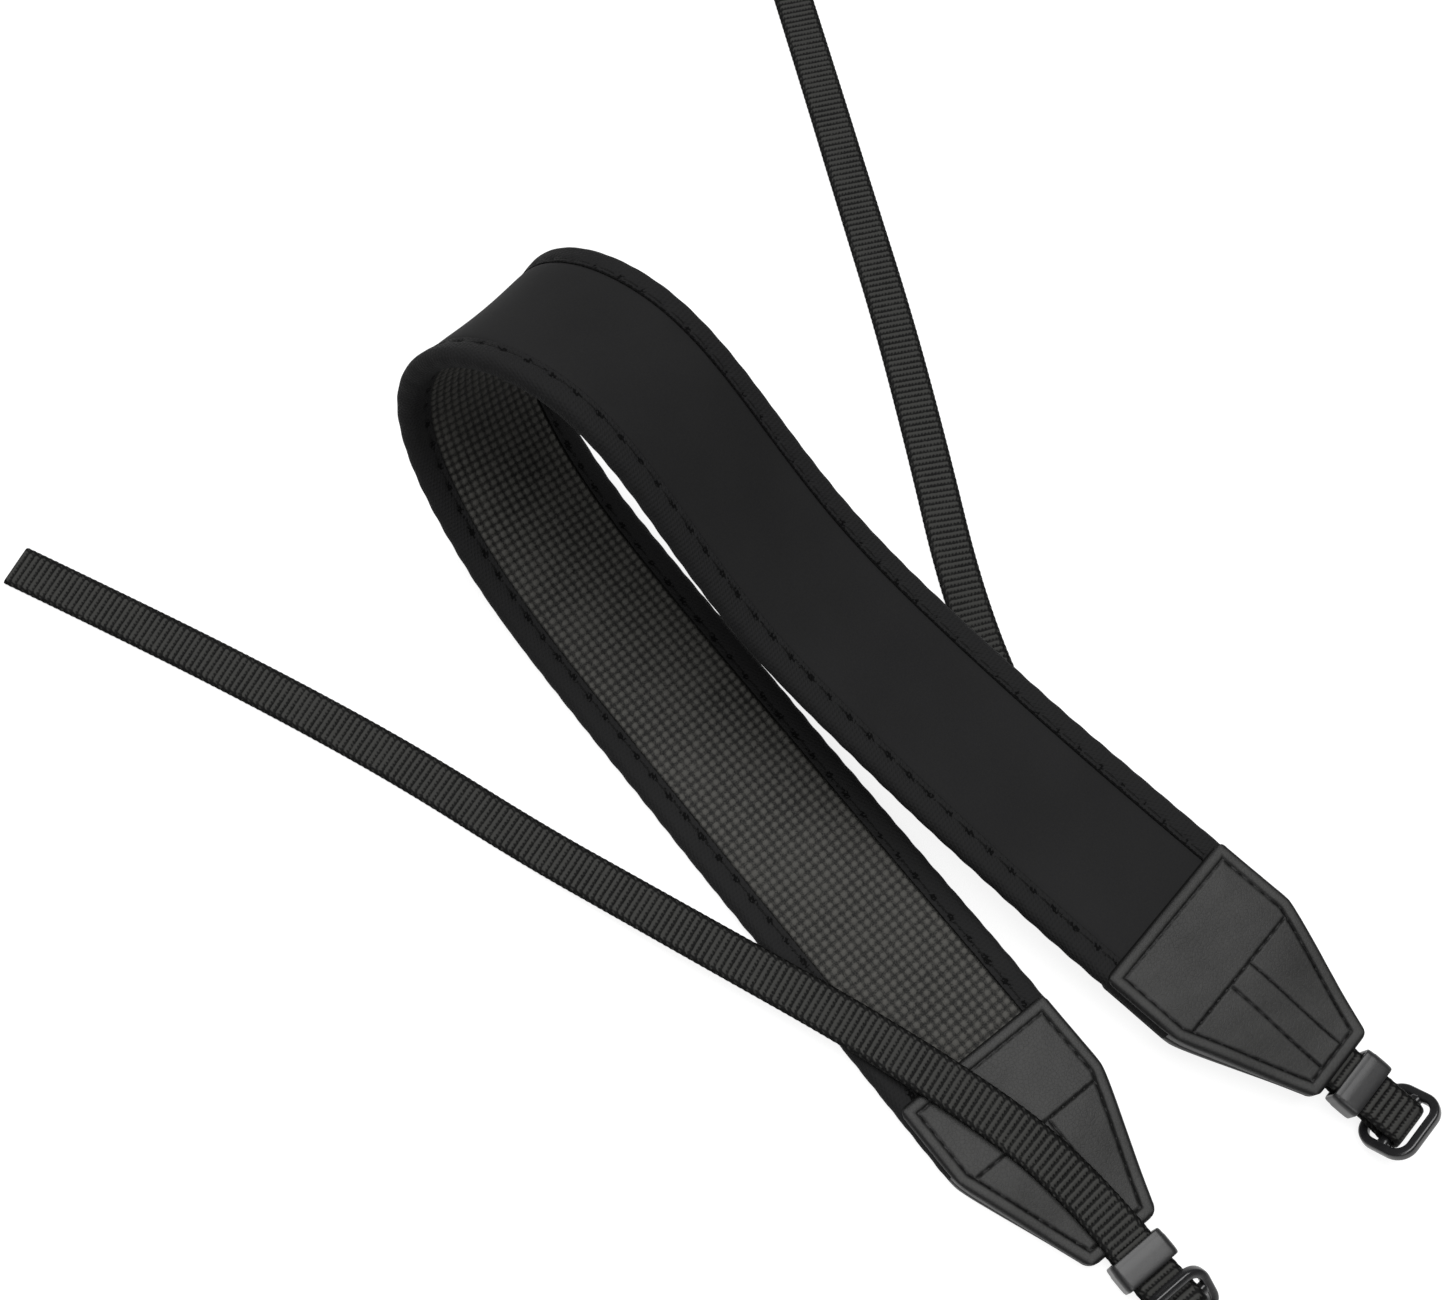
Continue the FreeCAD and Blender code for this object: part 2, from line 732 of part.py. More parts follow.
doc.recompute()
for item in doc.Objects:
    if "Invalid" in item.State or "Error" in item.State:
        raise RuntimeError("%s failed: %s" % (item.Label, item.State))
os.makedirs("parts", exist_ok=True)
for node in nodes:
    if node.Shape.isNull() or not node.Shape.isValid():
        raise RuntimeError("%s has no valid shape" % node.Label)
for node in nodes:
    node.Shape.exportStep(os.path.join("parts", node.Label + ".step"))
    box = node.Shape.BoundBox
    print("%-22s volume %9.1f  solids %d  box %.1f..%.1f  %.1f..%.1f  %.1f..%.1f" % (
        node.Label, node.Shape.Volume, len(node.Shape.Solids),
        box.XMin, box.XMax, box.YMin, box.YMax, box.ZMin, box.ZMax))
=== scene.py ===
import math

import bpy
import numpy as np
from mathutils import Matrix, Vector


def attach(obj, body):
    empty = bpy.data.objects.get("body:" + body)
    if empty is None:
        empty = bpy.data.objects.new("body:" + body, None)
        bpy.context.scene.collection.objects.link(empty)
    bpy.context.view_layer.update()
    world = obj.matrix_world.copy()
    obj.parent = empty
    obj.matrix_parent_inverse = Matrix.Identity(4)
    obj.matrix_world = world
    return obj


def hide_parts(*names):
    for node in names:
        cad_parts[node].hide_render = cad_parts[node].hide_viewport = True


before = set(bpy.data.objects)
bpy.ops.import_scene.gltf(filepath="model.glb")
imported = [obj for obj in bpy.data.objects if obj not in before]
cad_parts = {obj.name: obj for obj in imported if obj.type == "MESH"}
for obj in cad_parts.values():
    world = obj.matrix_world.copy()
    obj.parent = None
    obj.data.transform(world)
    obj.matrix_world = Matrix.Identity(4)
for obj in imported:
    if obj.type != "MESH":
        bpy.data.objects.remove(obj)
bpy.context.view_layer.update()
mm = 0.001
print("frame loaded")

# Padded neck strap: sizes in millimetres, in the frame's own axes, made metres in addMesh.
# An end's own frame starts at its leather tip, +X out along the webbing and +Z on the mesh side.
ends = {
    "left": dict(tip=(105.0, -25.4, 3.6), turn=(0.0, 0.0, 0.0), lean=1.0, sliderTilt=42.0),
    "right": dict(tip=(106.5, 31.1, 9.1), turn=(10.5, 5.0, 180.0), lean=-1.0, sliderTilt=44.0),
}
pad = dict(
    halfWidth=20.0, halfThick=2.5, tapeStart=14.0, seamInset=4.8,
    endBack=30.5, offset=(-45.0, -8.9, 2.5),
    cup=1.5, cupReach=45.0,   # hollow across the width at the fold, and how far it runs
    # x, y, rise, then how the width leans along x and z for each unit of y
    poles=[
        (60.0, -16.5, 0.0, 0.0, 0.0), (30.0, -16.5, 0.0, 0.0, 0.0), (1.0, -16.5, 0.0, 0.0, 0.0),
        (-28.0, -16.5, 0.2, 0.0, -0.01), (-57.0, -16.0, 5.5, 0.0, -0.17),
        (-81.0, -13.0, 28.0, -0.14, -0.32), (-74.0, -3.5, 59.5, -0.32, -0.22),
        (-43.0, 7.5, 67.0, -0.3, -0.27), (-18.0, 10.5, 49.5, -0.28, -0.24),
        (5.5, 13.0, 32.5, -0.23, -0.16), (33.0, 18.0, 23.0, -0.21, -0.12),
        (61.0, 23.5, 15.5, -0.19, -0.05),
    ],
    straight=(0.0, 10.0, 20.0, 32.0),
    samples=6000,
)
webbing = dict(
    width=10.0, thick=1.2, step=0.19, across=17,
    ribPitch=1.5, ribDepth=0.36, ribPinch=0.08, ribEnd=3.7, selvedge=4.15, selvedgeDepth=0.16,
    cutThin=(0.28, 0.8), cutNarrow=(0.025, 0.6),   # share that the hot knife draws in, and over what
    barReach=16.0, barRadius=2.25, returnLevel=2.3, returnFall=17.0, tailStart=1.0)
camera = dict(place=(0.0877, -0.1126, 0.4168), look=(-0.2952, 0.2306, -0.9272),
              up=(-0.7306, 0.5708, 0.3746), lens=49.66, sensor=36.0, near=0.01, far=20.0)


def placeCamera():
    # axes: back is against the look, right is up x back, over is back x right
    back = -Vector(camera["look"]).normalized()
    right = Vector(camera["up"]).cross(back).normalized()
    over = back.cross(right)
    data = bpy.data.cameras.new("camera")
    data.lens = camera["lens"]
    data.sensor_width = camera["sensor"]
    data.clip_start = camera["near"]
    data.clip_end = camera["far"]
    made = bpy.data.objects.new("camera", data)
    turn = Matrix((right, over, back)).transposed().to_4x4()
    made.matrix_world = Matrix.Translation(camera["place"]) @ turn
    bpy.context.collection.objects.link(made)
    bpy.context.scene.camera = made


placeCamera()
print("camera placed")


def unit(vectors):
    # each vector divided by its own length
    return vectors / np.linalg.norm(vectors, axis=-1, keepdims=True)


def ease(low, high, value):
    # smooth step: 0 below low, 1 above high
    t = np.clip((value - low) / (high - low), 0.0, 1.0)
    return t * t * (3.0 - 2.0 * t)


def endTurn(end):
    # rotation matrix: roll about X, then dip about Y, then yaw about Z
    yaw, dip, roll = np.radians(ends[end]["turn"])
    about = {}
    for axis, angle in (("z", yaw), ("y", dip), ("x", roll)):
        about[axis] = np.array(Matrix.Rotation(angle, 3, axis.upper()))
    return about["z"] @ about["y"] @ about["x"]


def fromEnd(end, points):
    # from an end's own frame to the part's: turned, then moved to the leather tip
    return np.asarray(points, float) @ endTurn(end).T + np.array(ends[end]["tip"])


def signedVolume(points, quads):
    # sum of the tetrahedra from the origin to each half of each quad
    corner = points[quads]
    first = np.einsum("ij,ij->i", corner[:, 0], np.cross(corner[:, 1], corner[:, 2]))
    second = np.einsum("ij,ij->i", corner[:, 0], np.cross(corner[:, 2], corner[:, 3]))
    return (first.sum() + second.sum()) / 6.0


def addMesh(name, points, quads, caps=(), lay=None, material=None):
    # points in millimetres; quads and caps all wind one way, either one, and are turned outwards
    centred = points - points.mean(axis=0)
    flip = signedVolume(centred, quads) < 0
    faces = (quads[:, ::-1] if flip else quads).tolist()
    faces += [list(cap)[::-1] if flip else list(cap) for cap in caps]
    mesh = bpy.data.meshes.new(name)
    mesh.from_pydata((points * mm).tolist(), [], faces)
    smooth = np.ones(len(faces), bool)
    smooth[len(quads):] = False
    mesh.polygons.foreach_set("use_smooth", smooth)
    if lay is not None:
        attribute = mesh.attributes.new("lay", "FLOAT_VECTOR", "POINT")
        attribute.data.foreach_set("vector", np.asarray(lay, np.float32).ravel())
    if material:
        mesh.materials.append(material)
    mesh.update()
    made = bpy.data.objects.new(name, mesh)
    bpy.context.collection.objects.link(made)
    return made


def gridQuads(rows, columns, aroundRows=False):
    # quads of a grid that closes on itself along its columns, and along its rows if asked
    row = np.arange(rows if aroundRows else rows - 1)[:, None]
    column = np.arange(columns)[None, :]
    after, beside = (row + 1) % rows, (column + 1) % columns
    return np.stack([row * columns + column, row * columns + beside,
                     after * columns + beside, after * columns + column], axis=-1).reshape(-1, 4)


def addTube(name, grid, lay=None, material=None, closed=False):
    # closed rings of points, one per row, joined into a skin with a flat cap at each end
    rows, columns = grid.shape[:2]
    caps = []
    if not closed:
        caps = [np.arange(columns)[::-1], (rows - 1) * columns + np.arange(columns)]
    flatLay = None if lay is None else lay.reshape(-1, 3)
    return addMesh(name, grid.reshape(-1, 3), gridQuads(rows, columns, closed), caps, flatLay, material)


def addStitches(name, spots, along, across, up, look, material):
    # each stitch is a rounded bar: radius (1 - x^4)^(1/2) over x from -1 to 1, its ends dipping by x^4
    around = 8
    x = np.array([-1.0, -0.93, -0.7, 0.0, 0.7, 0.93, 1.0])
    angle = np.linspace(0, 2 * np.pi, around, endpoint=False)
    girth = np.sqrt(np.clip(1 - x ** 4, 0.02, 1))[:, None]
    ring = np.stack([np.repeat(x[:, None], around, 1), girth * np.cos(angle), girth * np.sin(angle)], -1)
    ring = ring.reshape(-1, 3)
    dip = ring[:, 0] ** 4 * look["dip"]
    points = (spots[:, None, :]
              + along[:, None, :] * ring[None, :, 0:1] * look["length"] / 2
              + across[:, None, :] * ring[None, :, 1:2] * look["width"] / 2
              + up[:, None, :] * (ring[None, :, 2:3] * look["height"] / 2 - dip[None, :, None]))
    starts = np.arange(len(spots)) * len(ring)
    quads = (starts[:, None, None] + gridQuads(len(x), around)[None]).reshape(-1, 4)
    first = np.arange(around)[::-1]
    last = (len(x) - 1) * around + np.arange(around)
    caps = np.concatenate([starts[:, None] + first, starts[:, None] + last])
    lay = np.tile(ring * np.array([look["length"] / 2, 1, 1]), (len(spots), 1))
    return addMesh(name, points.reshape(-1, 3), quads, caps, lay, material)


def splineWeights(count, at):
    # cubic B-spline weights of each pole over evenly spaced knots, by the Cox-de Boor recursion
    knots = np.concatenate([np.zeros(3), np.arange(count - 2), np.full(3, count - 3)])
    weights = np.zeros((len(at), len(knots) - 1))
    weights[np.arange(len(at)), np.clip(at.astype(int), 0, count - 4) + 3] = 1.0
    for degree in (1, 2, 3):
        raised = np.zeros_like(weights)
        for pole in range(len(knots) - 1 - degree):
            before = knots[pole + degree] - knots[pole]
            after = knots[pole + degree + 1] - knots[pole + 1]
            if before > 0:
                raised[:, pole] += (at - knots[pole]) / before * weights[:, pole]
            if after > 0:
                raised[:, pole] += (knots[pole + degree + 1] - at) / after * weights[:, pole + 1]
        weights = raised
    return weights[:, :count]


def lengthAlong(points):
    # running length: the steps between neighbouring points, summed up
    return np.concatenate([[0.0], np.cumsum(np.linalg.norm(np.diff(points, axis=0), axis=1))])


def readAt(at, run, values):
    # each column of the values, read at new places along the running length
    return np.stack([np.interp(at, run, column) for column in values.T], -1)


def straightPoles(end):
    # poles of the straight stretch behind an end's leather, each with the way the width lies
    lean = endTurn(end) @ (0, ends[end]["lean"], 0)
    return [(fromEnd(end, (-pad["endBack"] - back, 0, 0)), lean) for back in pad["straight"]]


def padFrames(step):
    # evenly spaced places along the spline whose poles are the two ends' straight runs and the
    # pad's own poles: across is the poles' lean made square to the line, mesh is across x along,
    # and the hollow is cup * exp(-((s - bend) / reach)^2)
    poles = straightPoles("left")
    for x, y, rise, skew, drop in pad["poles"]:
        poles.append((np.array((x, y, rise)) + pad["offset"], np.array((skew, 1.0, drop))))
    poles += reversed(straightPoles("right"))
    middles, leans = [np.array(column) for column in zip(*poles)]
    weights = splineWeights(len(middles), np.linspace(0, len(middles) - 3, pad["samples"]))
    line, lean = weights @ middles, weights @ leans
    run = lengthAlong(line)
    count = int(run[-1] / step) + 1
    at = np.linspace(0, run[-1], count)
    even = readAt(at, run, line)
    leaning = readAt(at, run, lean)
    along = unit(readAt(at, run, unit(np.gradient(line, axis=0))))
    across = unit(leaning - along * np.sum(leaning * along, axis=1, keepdims=True))
    bend = at[np.argmin(even[:, 0])]
    cup = pad["cup"] * np.exp(-((at - bend) / pad["cupReach"]) ** 2)
    return dict(s=at, middle=even, along=along, across=across, mesh=np.cross(across, along), cup=cup)


def padSag(cup, a):
    # the band hollows across its width: cup * (2/3 - (a / half width)^2)
    return cup * (2 / 3 - (a / pad["halfWidth"]) ** 2)


def onPad(frames, section):
    # section holds (a, b) at each place: point = middle + a * across + (b + hollow) * mesh
    level = section[..., 1] + padSag(frames["cup"][:, None], section[..., 0])
    return (frames["middle"][:, None, :] + frames["across"][:, None, :] * section[..., 0:1]
            + frames["mesh"][:, None, :] * level[..., None])


def smoothRoute(points):
    # the route's own NURBS line, read back as points in millimetres
    curve = bpy.data.curves.new("route", "CURVE")
    curve.dimensions = "3D"
    curve.resolution_u = 32
    spline = curve.splines.new("NURBS")
    spline.points.add(len(points) - 1)
    spline.points.foreach_set("co", np.hstack([points, np.ones((len(points), 1))]).ravel())
    spline.order_u = 3
    spline.use_endpoint_u = True
    holder = bpy.data.objects.new("route", curve)
    bpy.context.collection.objects.link(holder)
    mesh = bpy.data.meshes.new_from_object(holder)
    found = np.empty(len(mesh.vertices) * 3)
    mesh.vertices.foreach_get("co", found)
    bpy.data.objects.remove(holder)
    bpy.data.meshes.remove(mesh)
    return found.reshape(-1, 3)


def addNode(tree, kind, **values):
    # a node with its sockets or, where no socket has that name, its settings filled in
    node = tree.nodes.new(kind)
    for key, value in values.items():
        if key in node.inputs:
            node.inputs[key].default_value = value
        else:
            setattr(node, key, value)
    return node


def addMath(tree, operation, first, second=None, third=None):
    # one sum on a tree: plain numbers are set on the sockets, anything else is linked to them
    node = addNode(tree, "ShaderNodeMath", operation=operation)
    for index, value in enumerate((first, second, third)):
        if value is None:
            continue
        if isinstance(value, (int, float)):
            node.inputs[index].default_value = value
        else:
            tree.links.new(value, node.inputs[index])
    return node.outputs[0]


def newGroup(name, inputs, outputs):
    # an empty node group with its sockets, and the two nodes that stand for them inside
    group = bpy.data.node_groups.new(name, "ShaderNodeTree")
    for label, kind, value in inputs:
        made = group.interface.new_socket(label, in_out="INPUT", socket_type=kind)
        if value is not None:
            made.default_value = value
    for label, kind in outputs:
        group.interface.new_socket(label, in_out="OUTPUT", socket_type=kind)
    return group, group.nodes.new("NodeGroupInput"), group.nodes.new("NodeGroupOutput")


def makeGrainGroup():
    # fine grain: two sizes of noise mixed, for colour, roughness and height
    group, fed, out = newGroup(
        "fineGrain",
        [("Vector", "NodeSocketVector", None), ("Fine", "NodeSocketFloat", 2500.0),
         ("Broad", "NodeSocketFloat", 60.0), ("Share", "NodeSocketFloat", 0.5)],
        [("Mask", "NodeSocketFloat"), ("Height", "NodeSocketFloat")])
    sizes = []
    for label, detail in (("Fine", 3.0), ("Broad", 2.0)):
        noise = addNode(group, "ShaderNodeTexNoise", Detail=detail)
        group.links.new(fed.outputs["Vector"], noise.inputs["Vector"])
        group.links.new(fed.outputs[label], noise.inputs["Scale"])
        sizes.append(noise.outputs["Fac"])
    mixed = addNode(group, "ShaderNodeMix", data_type="FLOAT")
    group.links.new(fed.outputs["Share"], mixed.inputs["Factor"])
    group.links.new(sizes[0], mixed.inputs["A"])
    group.links.new(sizes[1], mixed.inputs["B"])
    group.links.new(mixed.outputs["Result"], out.inputs["Mask"])
    group.links.new(sizes[0], out.inputs["Height"])
    return group


def makeYarnGroup():
    # yarns: sine waves across and along the piece's own lay, multiplied for the weave's height
    group, fed, out = newGroup(
        "yarnLines",
        [("Lay", "NodeSocketVector", None), ("Across", "NodeSocketFloat", 0.5),
         ("Along", "NodeSocketFloat", 0.5), ("Slant", "NodeSocketFloat", 0.0)],
        [("Height", "NodeSocketFloat")])
    parts = addNode(group, "ShaderNodeSeparateXYZ")
    group.links.new(fed.outputs["Lay"], parts.inputs[0])
    slanted = addMath(group, "MULTIPLY_ADD", parts.outputs[1], fed.outputs["Slant"], parts.outputs[0])
    waves = []
    for place, pitch in ((slanted, "Across"), (parts.outputs[1], "Along")):
        turns = addMath(group, "DIVIDE", place, fed.outputs[pitch])
        wave = addMath(group, "SINE", addMath(group, "MULTIPLY", turns, 2 * math.pi))
        waves.append(addMath(group, "MULTIPLY_ADD", wave, 0.5, 0.5))
    group.links.new(addMath(group, "MULTIPLY", waves[0], waves[1]), out.inputs["Height"])
    return group


grainGroup = makeGrainGroup()
yarnGroup = makeYarnGroup()


def addGroup(tree, group, vector, **values):
    # a copy of a node group, fed by a vector
    node = tree.nodes.new("ShaderNodeGroup")
    node.node_tree = group
    tree.links.new(vector, node.inputs[0])
    for key, value in values.items():
        node.inputs[key].default_value = value
    return node


def colourBetween(tree, mask, low, high, dark, light):
    # dark where the mask is below low, light above high and a blend between them
    ramp = addNode(tree, "ShaderNodeValToRGB")
    ramp.color_ramp.elements[0].position = low
    ramp.color_ramp.elements[0].color = (*dark, 1)
    ramp.color_ramp.elements[1].position = high
    ramp.color_ramp.elements[1].color = (*light, 1)
    tree.links.new(mask, ramp.inputs[0])
    return ramp.outputs[0]


def makeFinish(name, look):
    # mask = grain + yarns * tint + proud share * raised, which picks the colour;
    # height = grain + yarns * share + hide cells, which bumps the surface
    material = bpy.data.materials.new(name)
    material.use_nodes = True
    tree = material.node_tree
    shader = tree.nodes["Principled BSDF"]
    place = tree.nodes.new("ShaderNodeTexCoord").outputs["Object"]
    lay = addNode(tree, "ShaderNodeAttribute", attribute_name="lay").outputs["Vector"]
    grain = addGroup(tree, grainGroup, place, Fine=look["fine"], Broad=look["broad"], Share=look["share"])
    mask, height = grain.outputs["Mask"], grain.outputs["Height"]
    if "yarn" in look:
        yarn = addGroup(tree, yarnGroup, lay, Across=look["yarn"][0], Along=look["yarn"][1],
                        Slant=look["slant"])
        height = addMath(tree, "MULTIPLY_ADD", yarn.outputs["Height"], look["yarnShare"], height)
        mask = addMath(tree, "MULTIPLY_ADD", yarn.outputs["Height"], look["yarnTint"], mask)
    if "cells" in look:
        hide = addNode(tree, "ShaderNodeTexVoronoi", feature="DISTANCE_TO_EDGE", Scale=look["cells"])
        tree.links.new(place, hide.inputs["Vector"])
        crease = addMath(tree, "MINIMUM", hide.outputs["Distance"], look["creaseWidth"])
        height = addMath(tree, "MULTIPLY_ADD", crease, look["creaseShare"], height)
    # the lay's third value carries painted light and shade: nub and rib tops lighter than their shaded
    # hollows, the tape's painted shade and shadow line, and the leather's painted highlight, edge shade and
    # groove shade
    if "raised" in look:   # the third lay value is how far the surface stands proud, 0 to 1
        proud = addNode(tree, "ShaderNodeSeparateXYZ")
        tree.links.new(lay, proud.inputs[0])
        mask = addMath(tree, "MULTIPLY_ADD", proud.outputs[2], look["raised"], mask)
    colour = colourBetween(tree, mask, look["low"], look["high"], look["dark"], look["light"])
    tree.links.new(colour, shader.inputs["Base Color"])
    rough = addNode(tree, "ShaderNodeMapRange", **{"To Min": look["rough"][0], "To Max": look["rough"][1]})
    tree.links.new(grain.outputs["Mask"], rough.inputs["Value"])
    tree.links.new(rough.outputs["Result"], shader.inputs["Roughness"])
    bump = addNode(tree, "ShaderNodeBump", Strength=look["bump"], Distance=look["relief"] * mm)
    tree.links.new(height, bump.inputs["Height"])
    tree.links.new(bump.outputs["Normal"], shader.inputs["Normal"])
    for socket, value in look.get("shader", {}).items():
        shader.inputs[socket].default_value = value
    return material


finishes = {
    "neoprene": dict(dark=(0.0105, 0.0105, 0.0108), light=(0.0155, 0.0155, 0.0158), low=0.3, high=0.7,
                     fine=2600.0, broad=45.0, share=0.5, rough=(0.72, 0.86), bump=0.25, relief=0.12,
                     shader={"Specular IOR Level": 0.12}),
    # mesh: dark is the painted shade in the valleys between nubs, light the nub tops
    "mesh": dict(dark=(0.003, 0.003, 0.0026), light=(0.062, 0.0606, 0.0555), low=0.52, high=1.0,
                 fine=3000.0, broad=90.0, share=0.2, rough=(0.55, 0.75), bump=0.3, relief=0.1,
                 raised=0.95, shader={"Specular IOR Level": 0.2}),
    "tape": dict(dark=(0.0008, 0.0008, 0.0009), light=(0.0135, 0.0135, 0.0138), low=0.95, high=1.0,
                 fine=1100.0, broad=120.0, share=0.35, rough=(0.7, 0.88), bump=0.55, relief=0.14,
                 yarn=(0.8, 0.9), slant=0.5, yarnShare=1.5, yarnTint=0.3, raised=0.75,
                 shader={"Specular IOR Level": 0.1}),
    "thread": dict(dark=(0.0015, 0.0015, 0.0015), light=(0.005, 0.005, 0.005), low=0.3, high=0.9,
                   fine=4000.0, broad=200.0, share=0.3, rough=(0.6, 0.75), bump=0.4, relief=0.1,
                   yarn=(0.9, 0.45), slant=1.0, yarnShare=1.0, yarnTint=0.3,
                   shader={"Specular IOR Level": 0.15}),
    "leather": dict(dark=(0.004, 0.004, 0.004), light=(0.0352, 0.0352, 0.0342), low=0.0, high=0.7,
                    fine=1400.0, broad=70.0, share=0.6, rough=(0.5, 0.62), bump=0.3, relief=0.1,
                    cells=1300.0, creaseWidth=0.12, creaseShare=8.0, raised=0.7,
                    shader={"Specular IOR Level": 0.28}),
    # webbing: dark is the painted shade in the hollows between ribs, light the rib crests
    "webbing": dict(dark=(0.0022, 0.0022, 0.0022), light=(0.039, 0.039, 0.0368), low=0.6, high=1.0,
                    fine=2500.0, broad=150.0, share=0.3, rough=(0.55, 0.72), bump=0.4, relief=0.1,
                    yarn=(0.8, 1.5), slant=0.3, yarnShare=1.2, yarnTint=0.35, raised=0.75,
                    shader={"Specular IOR Level": 0.1}),
    "keeper": dict(dark=(0.015, 0.015, 0.0155), light=(0.0215, 0.0215, 0.022), low=0.3, high=0.7,
                   fine=1800.0, broad=110.0, share=0.5, rough=(0.3, 0.42), bump=0.16, relief=0.06,
                   shader={"Specular IOR Level": 0.42}),
    "slider": dict(dark=(0.009, 0.009, 0.0098), light=(0.014, 0.014, 0.015), low=0.3, high=0.7,
                   fine=1800.0, broad=110.0, share=0.5, rough=(0.18, 0.3), bump=0.1, relief=0.06,
                   shader={"Specular IOR Level": 0.55}),
}
materials = {name: makeFinish(name, look) for name, look in finishes.items()}
print("finishes made")


def webbingSection(run, length, hotCut):
    # rounded flat outline at each place: half thickness * (1 - depth * (1 - sin^2)) on the ribs,
    # thinner and even on the selvedges, its edges rounded by (1 - t^9)^(1/2) of the half width,
    # and drawn in over the last stretch of a cut end
    wave = np.sin(np.pi * run / webbing["ribPitch"])[:, None] ** 2
    width = webbing["width"] / 2 - webbing["ribPinch"] * (1 - wave)
    cut = np.ones((len(run), 1))
    if hotCut:
        left = (length - run)[:, None]
        thin, reach = webbing["cutThin"]
        cut = 1 - thin * (1 - ease(0.0, reach, left))
        narrow, reach = webbing["cutNarrow"]
        width = width * (1 - narrow * (1 - ease(0.0, reach, left)))
    flat = np.linspace(-1, 1, webbing["across"])
    face = np.concatenate([np.ones(len(flat)), -np.ones(len(flat) - 2)])
    flat = np.concatenate([flat, flat[-2:0:-1]])
    a = width * np.sign(flat) * (1 - (1 - np.abs(flat)) ** 1.25)
    edgeRound = np.sqrt(np.clip(1 - np.abs(a / width) ** 9, 0, 1))
    ribbed = 1 - ease(webbing["ribEnd"], webbing["selvedge"], np.abs(a))
    swell = 1 - webbing["ribDepth"] * (1 - wave) * ribbed - webbing["selvedgeDepth"] * (1 - ribbed)
    b = webbing["thick"] / 2 * cut * swell * edgeRound * face
    # painted shade: the colour is dark in the hollows between ribs and light on the rib crests; it is also
    # dark on the flat selvedges and towards a cut end
    proud = wave ** 1.4 * ribbed * cut
    lay = np.stack([a, np.repeat(run[:, None], len(flat), 1), proud], -1)
    return a, b, lay


def addWebbing(name, line, across, hotCut):
    # point = middle + a * side + b * up at even steps along the line, up being along x side
    run = lengthAlong(line)
    count = int(run[-1] / webbing["step"]) + 1
    at = np.linspace(0, run[-1], count)
    even = readAt(at, run, line)
    along = unit(np.gradient(even, axis=0))
    side = unit(across(along))
    up = np.cross(along, side)
    a, b, lay = webbingSection(at, run[-1], hotCut)
    grid = even[:, None, :] + side[:, None, :] * a[..., None] + up[:, None, :] * b[..., None]
    made = addTube(name, grid, lay, materials["webbing"])
    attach(made, "strap")
    return made, even, run[-1]


# the loose tails' points from the keeper to the cut end, before the pad's sideways offset
tails = {
    "left": [
        (131.0, -18.0, 7.6), (119.0, -20.5, 8.4), (100.0, -26.5, 8.3), (79.0, -34.0, 6.7),
        (58.0, -42.5, 6.0), (35.0, -51.5, 4.2), (10.0, -61.0, 0.9), (-20.0, -71.5, 0.6),
        (-50.0, -84.0, 0.6), (-84.0, -99.5, 0.6), (-116.0, -115.0, 0.6),
    ],
    "right": [
        (136.0, 37.1, 6.4), (124.0, 35.4, 4.5), (108.0, 34.2, 1.6), (90.0, 34.5, 0.6),
        (68.0, 37.0, 0.6), (45.0, 42.0, 0.6), (20.0, 52.0, 0.6), (-10.0, 68.0, 0.6),
        (-42.0, 84.2, 0.6), (-75.0, 99.3, 0.6), (-110.0, 115.5, 0.6), (-145.0, 131.4, 0.6),
    ],
}


def levelAcross(along):
    # width direction that stays level: straight up crossed with the direction of travel
    return np.cross(np.array([0.0, 0.0, 1.0]), along)


def makeTail(end):
    # out of the keeper in the end's own frame, then by its own points along the floor
    level = webbing["returnLevel"]
    start = fromEnd(end, [(webbing["tailStart"], 0, level), (-6.0, 0, level)])
    rest = np.array(tails[end]) + np.array([pad["offset"][0], pad["offset"][1], 0.0])
    line = smoothRoute(np.vstack([start, rest]))
    tail, path, length = addWebbing("tail_" + end, line, levelAcross, True)
    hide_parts("webbing_tail_" + end)


def loopLine():
    # side view of the sewn webbing: straight, round the bar, down the slope and back,
    # its corners eased by a running mean
    radius, reach = webbing["barRadius"], webbing["barReach"]
    fall = math.radians(webbing["returnFall"])
    angle = np.linspace(-math.pi / 2, math.pi / 2 + fall, 60)
    arc = np.stack([reach + radius * np.cos(angle), radius + radius * np.sin(angle)], -1)
    drop = (arc[-1, 1] - webbing["returnLevel"]) / math.sin(fall)
    foot = arc[-1] - drop * np.array([math.cos(fall), math.sin(fall)])
    corners = np.vstack([[(-5.0, 0.0)], arc, [foot], [(webbing["tailStart"] - 0.05, webbing["returnLevel"])]])
    run = lengthAlong(corners)
    at = np.linspace(0, run[-1], 400)
    line = readAt(at, run, corners)
    span = 13
    padded = np.pad(line, ((span // 2, span // 2), (0, 0)), mode="reflect", reflect_type="odd")
    mean = np.ones(span) / span
    line = np.stack([np.convolve(padded[:, k], mean, mode="valid") for k in range(2)], -1)
    return np.stack([line[:, 0], np.zeros(len(line)), line[:, 1]], -1)


def makeLoop(end):
    # the sewn webbing keeps the end's own width direction all the way round
    wide = endTurn(end) @ (0, 1, 0)
    line = fromEnd(end, loopLine())
    loop = addWebbing("loop_" + end, line, lambda along: np.broadcast_to(wide, along.shape), False)[0]
    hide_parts("webbing_loop_" + end)


for end in ends:
    makeTail(end)
for end in ends:
    makeLoop(end)
print("webbing made")


def waver(run, size, seed):
    # slow unevenness: a few sine waves of unlike lengths
    draw = np.random.default_rng(seed)
    waves = [np.sin(run * 2 * np.pi / pitch + draw.uniform(0, 6.28)) for pitch in (37.0, 61.0, 103.0)]
    return size * sum(waves) / 3


